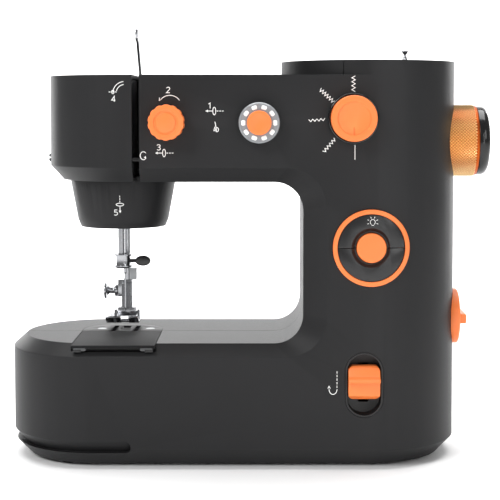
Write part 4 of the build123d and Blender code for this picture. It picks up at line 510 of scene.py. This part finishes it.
def casing_signs():
    """Every symbol printed on the casing, in millimetres on the front face."""
    lines = []
    # stitch symbols round the selector
    lines += zigzag((62.8, 239.0), (62.8, 229.6), 4, 1.05)
    lines += zigzag((42.8, 231.0), (51.0, 223.4), 6, 1.0)
    lines += zigzag((36.0, 212.2), (45.8, 213.0), 4, 0.7)
    lines += zigzag((45.0, 193.4), (51.8, 201.4), 5, 0.85)
    lines += [[(63.8, 197.6), (63.8, 188.8)]]
    # threading order: 1, 2 and 3 round the tension knob, 4 on the face cover, 5 on the cone
    lines += digit("1", -23.4, 221.2) + guide_sign(-20.6, 218.0)
    lines += digit("2", -48.2, 230.6) + arc(-47.2, 221.0, 6.8, 6.4, 32, 146)
    lines += head(-53.5, 224.3, 238, 1.7)
    lines += digit("3", -54.0, 196.2) + guide_sign(-50.8, 192.8)
    lines += digit("4", -81.2, 225.2) + arc(-74.4, 228.6, 7.0, 7.0, 95, 175)
    lines += arc(-74.4, 228.6, 5.0, 5.2, 95, 165)
    lines += dashes((-84.0, 229.4), (-79.0, 229.4), 3) + arc(-81.4, 229.4, 0.7, 1.1)
    lines += digit("5", -82.8, 155.0) + guide_sign(-80.2, 160.0, 90)
    # thread hook signs
    lines += [[(-20.2, 211.6), (-19.2, 206.2), (-20.9, 206.2), (-20.2, 208.6)]]
    lines += arc(-19.0, 206.8, 0.9, 1.3)
    lines += arc(-63.2, 191.2, 1.9, 2.4, 40, 330) + head(-61.9, 189.8, 300, 1.1)
    # way back: a dashed line with a hook, beside the reverse lever
    lines += dashes((53.4, 60.6), (53.4, 50.4), 5) + arc(51.0, 49.6, 2.4, 3.2, 0, -180)
    lines += head(48.6, 51.4, 90, 1.6)
    return lines


def button_y(x):
    """The face of the push buttons, which follows the round column, at x in millimetres."""
    aside = max(0.0, x * MM - COLUMN_X)
    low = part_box("light_button")[0]
    return MID_Y - math.sqrt((MID_Y - low.y) ** 2 - aside**2)


def lamp_sign(x, z):
    """A lamp with rays."""
    lines = arc(x, z, 1.5, 1.6, -60, 240) + [[(x - 0.7, z - 2.0), (x + 0.7, z - 2.0)]]
    return lines + [radial(x, z, degrees, (2.4, 3.5)) for degrees in range(-20, 201, 44)]


# ------------------------------------------------------------------ repeated details
# between the teeth the darker core shows, painted shade in the valleys
TOOTH_FILL = 0.86                   # share of its pitch that a tooth fills: the rest is valley
TOOTH_TIP = 0.18                    # a tooth's flat tip, in its base's size


def new_tree(name, seeded, sockets):
    """A Geometry Nodes tree with named inputs {name: (kind, default)}, and its input node."""
    tree = bpy.data.node_groups.new(name, "GeometryNodeTree")
    for way in ("INPUT", "OUTPUT") if seeded else ("OUTPUT",):
        tree.interface.new_socket(name="Geometry", in_out=way, socket_type="NodeSocketGeometry")
    for key, (kind, value) in sockets.items():
        item = tree.interface.new_socket(name=key, in_out="INPUT", socket_type="NodeSocket" + kind)
        if value is not None:
            item.default_value = value
    return tree, add_node(tree, "NodeGroupInput")


def end_tree(tree, given, placed):
    """Ends a tree: the instances are made real and get the material."""
    real = add_node(tree, "GeometryNodeRealizeInstances", {"Geometry": (placed, "Instances")})
    coated = add_node(tree, "GeometryNodeSetMaterial", {"Geometry": (real, "Geometry"),
                                                       "Material": (given, "Material")})
    add_node(tree, "NodeGroupOutput", {"Geometry": (coated, "Geometry")})
    return tree


def knurl_tree():
    """Geometry Nodes: rows of small pyramids round the X axis, each row half a pitch on."""
    tree, given = new_tree("diamond_knurl", False, {
        "Radius": ("Float", 22.4 * MM), "Start": ("Float", 0.0), "Pitch": ("Float", 0.6 * MM),
        "Columns": ("Int", 96), "Rows": ("Int", 30), "Height": ("Float", 0.4 * MM),
        "Middle": ("Vector", None), "Material": ("Material", None)})

    def maths(operation, *values):
        node = add_node(tree, "ShaderNodeMath", operation=operation)
        for i, value in enumerate(values):
            if isinstance(value, tuple):
                tree.links.new(value[0].outputs[value[1]], node.inputs[i])
            else:
                node.inputs[i].default_value = value
        return (node, "Value")

    index = (add_node(tree, "GeometryNodeInputIndex"), "Index")
    columns = (given, "Columns")
    row = maths("FLOOR", maths("DIVIDE", index, columns))
    half = maths("MULTIPLY", maths("MODULO", row, 2.0), 0.5)
    column = maths("ADD", maths("MODULO", index, columns), half)
    turn = maths("MULTIPLY", maths("DIVIDE", column, columns), 2 * math.pi)
    along = maths("MULTIPLY_ADD", row, (given, "Pitch"), (given, "Start"))
    place = add_node(tree, "ShaderNodeCombineXYZ", {
        "X": along,
        "Y": maths("MULTIPLY", maths("COSINE", turn), (given, "Radius")),
        "Z": maths("MULTIPLY", maths("SINE", turn), (given, "Radius"))})
    moved = add_node(tree, "ShaderNodeVectorMath", {0: (place, "Vector"), 1: (given, "Middle")},
                     operation="ADD")
    count = maths("MULTIPLY", columns, (given, "Rows"))
    points = add_node(tree, "GeometryNodePoints", {"Count": count, "Position": (moved, "Vector")})
    tooth = add_node(tree, "GeometryNodeMeshCone", None, {
        "Vertices": 4, "Radius Top": TOOTH_TIP, "Radius Bottom": 1.0, "Depth": 1.0})
    lean = add_node(tree, "ShaderNodeCombineXYZ", {"X": maths("SUBTRACT", turn, math.pi / 2)})
    across = maths("DIVIDE", maths("MULTIPLY", (given, "Radius"), math.pi), columns)
    size = add_node(tree, "ShaderNodeCombineXYZ", {
        "X": maths("MULTIPLY", (given, "Pitch"), TOOTH_FILL),
        "Y": maths("MULTIPLY", across, TOOTH_FILL), "Z": (given, "Height")})
    placed = add_node(tree, "GeometryNodeInstanceOnPoints", {
        "Points": (points, "Points"), "Instance": (tooth, "Mesh"), "Rotation": (lean, "Vector"),
        "Scale": (size, "Vector")})
    return end_tree(tree, given, placed)


def ring_tree():
    """Geometry Nodes: copies of one tile evenly round a circle that lies in the XZ directions."""
    tree, given = new_tree("tiles_round_a_circle", True, {
        "Radius": ("Float", 10 * MM), "Count": ("Int", 10), "Middle": ("Vector", None),
        "Material": ("Material", None)})
    circle = add_node(tree, "GeometryNodeMeshCircle", {"Vertices": (given, "Count"),
                                                      "Radius": (given, "Radius")})
    stood = add_node(tree, "GeometryNodeTransform", {"Geometry": (circle, "Mesh"),
                                                     "Translation": (given, "Middle")},
                     {"Rotation": (math.pi / 2, 0, 0)})
    index = add_node(tree, "GeometryNodeInputIndex")
    share = add_node(tree, "ShaderNodeMath", {0: (index, "Index"), 1: (given, "Count")},
                     operation="DIVIDE")
    turn = add_node(tree, "ShaderNodeMath", {0: (share, "Value")}, {1: -2 * math.pi},
                    operation="MULTIPLY")
    lean = add_node(tree, "ShaderNodeCombineXYZ", {"Y": (turn, "Value")})
    placed = add_node(tree, "GeometryNodeInstanceOnPoints", {
        "Points": (stood, "Geometry"), "Instance": (given, "Geometry"),
        "Rotation": (lean, "Vector")})
    return end_tree(tree, given, placed)


def grow(name, mesh, tree, values, material):
    """The plain mesh that a node group makes from a mesh, with the group's inputs set by name."""
    seed = link(name + "_seed", mesh, material)
    modifier = seed.modifiers.new("grow", "NODES")
    modifier.node_group = tree
    for item in tree.interface.items_tree:
        if item.in_out == "INPUT" and item.name in values:
            modifier[item.identifier] = values[item.name]
    made = evaluated_mesh(seed)
    bpy.data.objects.remove(seed)
    return link(name, made, material)


def tile(name, wide, high, thick, corner=0.35, steps=6):
    """A small slab with rounded ends, about the origin, its face towards -Y."""
    shape = bmesh.new()
    radius = min(wide, high) * corner
    outline = []
    for cx, cz, first in ((1, 1, 0), (-1, 1, 90), (-1, -1, 180), (1, -1, 270)):
        for i in range(steps + 1):
            a = math.radians(first + 90 * i / steps)
            outline.append((cx * (wide / 2 - radius) + radius * math.cos(a),
                            cz * (high / 2 - radius) + radius * math.sin(a)))
    rings = []
    for shrink, y in ((0.0, 0.0), (0.0, -0.7 * thick), (0.12 * min(wide, high), -thick)):
        rings.append([shape.verts.new(((x - math.copysign(shrink, x)) * MM, y * MM,
                                       (z - math.copysign(shrink, z)) * MM)) for x, z in outline])
    count = len(outline)
    for low, high_ring in zip(rings, rings[1:]):
        for i in range(count):
            j = (i + 1) % count
            shape.faces.new((low[i], low[j], high_ring[j], high_ring[i]))
    shape.faces.new(rings[0])
    shape.faces.new(rings[-1])
    bmesh.ops.recalc_face_normals(shape, faces=shape.faces)
    mesh = plain_mesh(shape, name)
    smooth(mesh, 40)
    return mesh


# ------------------------------------------------------------------ the stage
VIEW_WIDTH = 300 * MM               # what the camera sees across the casing's front face
EYE_DISTANCE = 800 * MM             # from the camera to the front face
EYE_X, EYE_Z = 12.8 * MM, 220.4 * MM
SHIFT_X, SHIFT_Y = -0.04, -0.14
EYE_LEVEL = 85.8 * MM               # the horizon's height over the view's middle, at the front face
WALL_FILL, OPEN_WHITE = 0.3, 1.05   # strength of the studio's fill and of the background
SWEEP_NEAR, SWEEP_FAR, SWEEP_HALF = -2.6, 3.2, 5.0
SWEEP_TURN, SWEEP_TALL, SWEEP_STEPS = 0.9, 3.4, 16
# name, place, what it is aimed at, width and height in metres, watts
LIGHTS = (
    ("key", (-0.95, -1.05, 1.15), (0, 0, 0.14), (0.6, 0.6), 14.0),
    ("fill", (0.95, -1.2, 0.7), (0, 0, 0.14), (0.3, 0.7), 4.0),
    ("column_strip", (0.38, -1.32, 0.3), (0.08, 0, 0.16), (0.07, 1.0), 1.6),
    ("top", (0.0, 0.25, 1.5), (0, 0.1, 0), (1.6, 1.2), 34.0),
    ("left_strip", (-0.7, 0.85, 0.35), (-0.1, 0, 0.14), (0.12, 0.9), 3.0),
    ("right_strip", (0.8, 0.95, 0.35), (0.1, 0, 0.14), (0.12, 0.9), 3.0),
    ("wall", (0.0, 1.5, 1.9), (0, 3.1, 0.8), (2.6, 0.8), 110.0),
)


# the grips under the bobbin cover: width, height and depth, then their place from its edges
GRIP_MM = (8.0, 2.2, 1.6)
GRIP_IN, GRIP_BACK, GRIP_DOWN = 5.2 * MM, 2.6 * MM, 1.1 * MM
# the stitch length dial: (radius, height) of the hub in millimetres, over the rim's face
DIAL_PROUD = 2.2                    # how far the hub stands in front of the rim's face
HUB_MM = ((0, -0.3), (7.35, -0.3), (7.35, 1.5), (7.15, 2.0), (6.7, 2.2), (5.4, 2.2), (5.0, 2.1),
          (4.2, 1.75), (0, 1.6))
RECESS_MM, NECK_MM = 0.25, 3.9      # depth of the rim's recess, and radius of its neck
WINDOW_MM = (2.5, 3.3, 0.5)         # width, height and depth of a white window
WINDOWS, WINDOW_RING_MM = 10, 9.45
SMALL_EDGE = 0.7                    # metal edges are rounded this much of the casing's
# the hand wheel's knurl
KNURL_DEEP = 0.55 * MM
KNURL_MARGIN = 0.8 * MM             # plain strip at either end
KNURL_SUNK = 0.02 * MM              # the teeth start just inside the core


def paper_sweep():
    """A paper sweep: the floor runs back and turns up into a wall."""
    turns = [math.pi / 2 * i / SWEEP_STEPS for i in range(SWEEP_STEPS + 1)]
    bend = [(SWEEP_FAR - SWEEP_TURN + SWEEP_TURN * math.sin(t), SWEEP_TURN - SWEEP_TURN * math.cos(t))
            for t in turns]
    line = [(SWEEP_NEAR, 0.0)] + bend + [(SWEEP_FAR, SWEEP_TALL)]
    mesh = bpy.data.meshes.new("paper_sweep")
    mesh.from_pydata([(x, y, z) for y, z in line for x in (-SWEEP_HALF, SWEEP_HALF)], [],
                     [(2 * i, 2 * i + 1, 2 * i + 3, 2 * i + 2) for i in range(len(line) - 1)])
    mesh.polygons.foreach_set("use_smooth", [True] * len(mesh.polygons))
    return link("paper_sweep", mesh,
                surface("matt_paper_white", "FCFCFC", 0.9, grain_mm=4, grain=0.0, tint=0.004))


def area_light(name, place, aim, size, power):
    """A rectangular light that is aimed at a point."""
    lamp = bpy.data.lights.new(name, "AREA")
    lamp.shape = "RECTANGLE"
    lamp.size, lamp.size_y = size
    lamp.energy = power
    holder = bpy.data.objects.new(name, lamp)
    holder.location = place
    holder.rotation_euler = (Vector(aim) - Vector(place)).to_track_quat("-Z", "Y").to_euler()
    bpy.context.scene.collection.objects.link(holder)


# ------------------------------------------------------------------ the operators
class SewingFinish(bpy.types.PropertyGroup):
    """Sizes and colours that a user would change."""

    casing_colour: FloatVectorProperty(name="Casing", description="Colour of the moulded casing",
                                       subtype="COLOR_GAMMA", size=3, default=(0.125, 0.125, 0.128),
                                       min=0, max=1)
    accent_colour: FloatVectorProperty(name="Accent", description="Colour of knobs and buttons",
                                       subtype="COLOR_GAMMA", size=3, default=(1.0, 0.50, 0.24),
                                       min=0, max=1)
    wheel_colour: FloatVectorProperty(name="Hand wheel", description="Anodised colour of the wheel",
                                      subtype="COLOR_GAMMA", size=3, default=(1.0, 0.76, 0.53),
                                      min=0, max=1)
    edge_size: FloatProperty(name="Edge", description="Rounding of small edges", default=0.3 * MM,
                             min=0, max=2 * MM, unit="LENGTH")
    knurl_columns: IntProperty(name="Knurl columns", description="Diamonds round the hand wheel",
                               default=72, min=12, max=200)
    knurl_rows: IntProperty(name="Knurl rows", description="Diamonds along the hand wheel",
                            default=19, min=2, max=60)


class SEWING_OT_stage(bpy.types.Operator):
    """Make the floor, the studio lights and the camera"""

    bl_idname = "sewing.stage"
    bl_label = "Stage"

    def execute(self, context):
        scene = context.scene
        scene.view_settings.view_transform = "Standard"
        world = bpy.data.worlds.new("studio")
        scene.world = world
        world.use_nodes = True
        tree = world.node_tree
        # the studio's walls give a soft grey fill, and the open background is white
        fill = tree.nodes["Background"]
        fill.inputs["Color"].default_value = (1, 1, 1, 1)
        fill.inputs["Strength"].default_value = WALL_FILL
        open_white = add_node(tree, "ShaderNodeBackground", None,
                              {"Color": (1, 1, 1, 1), "Strength": OPEN_WHITE})
        seen = add_node(tree, "ShaderNodeLightPath")
        both = add_node(tree, "ShaderNodeMixShader", {
            0: (seen, "Is Camera Ray"), 1: (fill, 0), 2: (open_white, 0)})
        tree.links.new(both.outputs[0], tree.nodes["World Output"].inputs["Surface"])
        paper_sweep()
        for light in LIGHTS:
            area_light(*light)
        camera_data = bpy.data.cameras.new("camera")
        camera_data.lens = camera_data.sensor_width * EYE_DISTANCE / VIEW_WIDTH
        camera_data.shift_x, camera_data.shift_y = SHIFT_X, SHIFT_Y
        camera_data.clip_start = 50 * MM
        camera = bpy.data.objects.new("camera", camera_data)
        camera.location = (EYE_X, FRONT_Y - EYE_DISTANCE, EYE_Z)
        tilt = math.atan((EYE_LEVEL + SHIFT_Y * VIEW_WIDTH) / EYE_DISTANCE)
        camera.rotation_euler = (math.pi / 2 - tilt, 0, 0)
        scene.collection.objects.link(camera)
        scene.camera = camera
        return {"FINISHED"}


class SEWING_OT_casing(bpy.types.Operator):
    """Finish the moulded casing, the base and the fixed trim"""

    bl_idname = "sewing.casing"
    bl_label = "Casing"

    def execute(self, context):
        edge = context.scene.sewing_finish.edge_size / MM
        for node in ("front_shell", "rear_shell", "face_cover"):
            paint(node)
        for node in ("needle_cone", "needle_plate", "hook_bay", "thread_channel",
                     "button_ring", "reverse_bezel", "side_thread_cutter", "lamp_lens",
                     "power_socket", "pedal_socket", "base_plate", "rubber_feet"):
            refine(node, edge)
        paint("shell_screws", blackened())
        paint("needle_plate_screws", blackened())
        refine("selector_bezel", edge, gloss_abs())
        # the bobbin cover is painted a little darker than the bed, a painted reflection of the needle
        # cone and foot above it
        refine("bobbin_cover", edge, matt_abs_painted_reflection())
        settle(ink("printed_signs", casing_signs(), STROKE_MM, outer_y), "front_shell")
        # thumb grips under the front edge of the bobbin cover
        low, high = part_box("bobbin_cover")
        for side, x in (("left", low.x + GRIP_IN), ("right", high.x - GRIP_IN)):
            grip = tile("cover_grip_" + side, *GRIP_MM, corner=0.3)
            grip.transform(Matrix.Translation((x, low.y + GRIP_BACK, low.z - GRIP_DOWN)))
            settle(link("cover_grip_" + side, grip, pale_acetal_dark()), "bobbin_cover")
        return {"FINISHED"}


class SEWING_OT_controls(bpy.types.Operator):
    """Finish the knobs, dials, buttons and the reverse lever"""

    bl_idname = "sewing.controls"
    bl_label = "Controls"

    def execute(self, context):
        edge = context.scene.sewing_finish.edge_size / MM
        for node in ("tension_knob", "stitch_selector", "start_button", "reverse_lever", "speed_knob"):
            refine(node, edge)
        for node in ("light_button", "speed_button"):
            refine(node, edge, satin_abs())
        # stitch length dial: smoked rim, ten white windows and an orange hub with a shallow dish
        low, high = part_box("stitch_length_dial")
        axis = Vector((0, -1, 0))
        origin = Vector(((low.x + high.x) / 2, low.y + DIAL_PROUD * MM, (low.z + high.z) / 2))
        rim_r = (high.x - low.x) / 2
        # the neck reaches back into the casing; each step of the rim is (in from its edge, height)
        neck = [(0, -18 * MM), (NECK_MM * MM, -18 * MM), (NECK_MM * MM, -8 * MM)]
        steps = ((0, -8), (0, -0.9), (0.2, -0.4), (0.7, 0), (1.4, 0), (1.6, -RECESS_MM))
        edge_line = [(rim_r - inset * MM, height * MM) for inset, height in steps]
        rim = revolved("dial_rim", neck + edge_line + [(7.6 * MM, -RECESS_MM * MM),
                                                       (0, -RECESS_MM * MM)],
                       origin, axis, dial_acrylic())
        settle(rim, "stitch_length_dial", ["stitch_length_dial"])
        hub = revolved("dial_hub", [(radius * MM, height * MM) for radius, height in HUB_MM],
                       origin, axis, accent_abs())
        settle(hub, "stitch_length_dial")
        windows = grow("dial_windows", tile("dial_window", *WINDOW_MM), ring_tree(), {
            "Radius": WINDOW_RING_MM * MM, "Count": WINDOWS,
            "Middle": origin + Vector((0, RECESS_MM * MM, 0)), "Material": white_ink()},
                       white_ink())
        settle(windows, "stitch_length_dial")
        lamp = ink("lamp_sign", lamp_sign(74.6, 151.3), THIN_STROKE_MM, lambda x, z: button_y(x))
        settle(lamp, "light_button")
        return {"FINISHED"}


class SEWING_OT_works(bpy.types.Operator):
    """Finish the needle, the presser foot and the mechanism inside"""

    bl_idname = "sewing.works"
    bl_label = "Works"

    def execute(self, context):
        edge = context.scene.sewing_finish.edge_size / MM
        for node in ("needle_clamp", "needle_clamp_screw", "foot_shank", "bar_thread_cutter",
                     "shank_screw", "presser_foot", "presser_lever", "take_up_lever", "spool_pin",
                     "handwheel_cap"):
            refine(node, edge * SMALL_EDGE)
        # hand wheel: a plain core, painted darker as shade for the valleys, with a diamond knurl on
        # its rim
        settings = context.scene.sewing_finish
        low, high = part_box("handwheel")
        radius = (high.z - low.z) / 2
        long = high.x - low.x
        middle = Vector((low.x, (low.y + high.y) / 2, (low.z + high.z) / 2))
        core_r = radius - KNURL_DEEP
        core = revolved("handwheel_core", [(0, 0), (core_r, 0), (core_r, long - KNURL_MARGIN),
                                           (core_r - 0.5 * MM, long), (0, long)],
                        middle, Vector((1, 0, 0)), anodised_painted_shade(), steps=160)
        settle(core, "handwheel", ["handwheel"])
        rows = settings.knurl_rows
        pitch = (long - 2 * KNURL_MARGIN) / (rows + 1)
        knurl = grow("handwheel_knurl", bpy.data.meshes.new("seed"), knurl_tree(), {
            "Radius": core_r - KNURL_SUNK, "Start": pitch + 0.2 * MM, "Pitch": pitch,
            "Columns": settings.knurl_columns, "Rows": rows, "Height": KNURL_DEEP,
            "Middle": middle, "Material": anodised()}, anodised())
        settle(knurl, "handwheel")
        for node, thing in frame["nodes"].items():
            if node + "_finish" not in bpy.data.objects and not thing.hide_render:
                paint(node)
        return {"FINISHED"}


class SEWING_PT_panel(bpy.types.Panel):
    """The sidebar panel that lists the operators"""

    bl_label = "Sewing machine"
    bl_idname = "SEWING_PT_panel"
    bl_space_type = "VIEW_3D"
    bl_region_type = "UI"
    bl_category = "Sewing"

    def draw(self, context):
        for step in STEPS:
            self.layout.operator(step.bl_idname)
        for name in SewingFinish.__annotations__:
            self.layout.prop(context.scene.sewing_finish, name)


STEPS = (SEWING_OT_stage, SEWING_OT_casing, SEWING_OT_controls, SEWING_OT_works)
CLASSES = (SewingFinish,) + STEPS + (SEWING_PT_panel,)


def register():
    """Adds the classes and the scene's settings."""
    for item in CLASSES:
        bpy.utils.register_class(item)
    bpy.types.Scene.sewing_finish = PointerProperty(type=SewingFinish)


def unregister():
    """Removes the classes and the scene's settings."""
    del bpy.types.Scene.sewing_finish
    for item in reversed(CLASSES):
        bpy.utils.unregister_class(item)


def main():
    """Runs every step in order."""
    register()
    for step in STEPS:
        group, name = step.bl_idname.split(".")
        getattr(getattr(bpy.ops, group), name)()


if __name__ == "__main__":
    main()
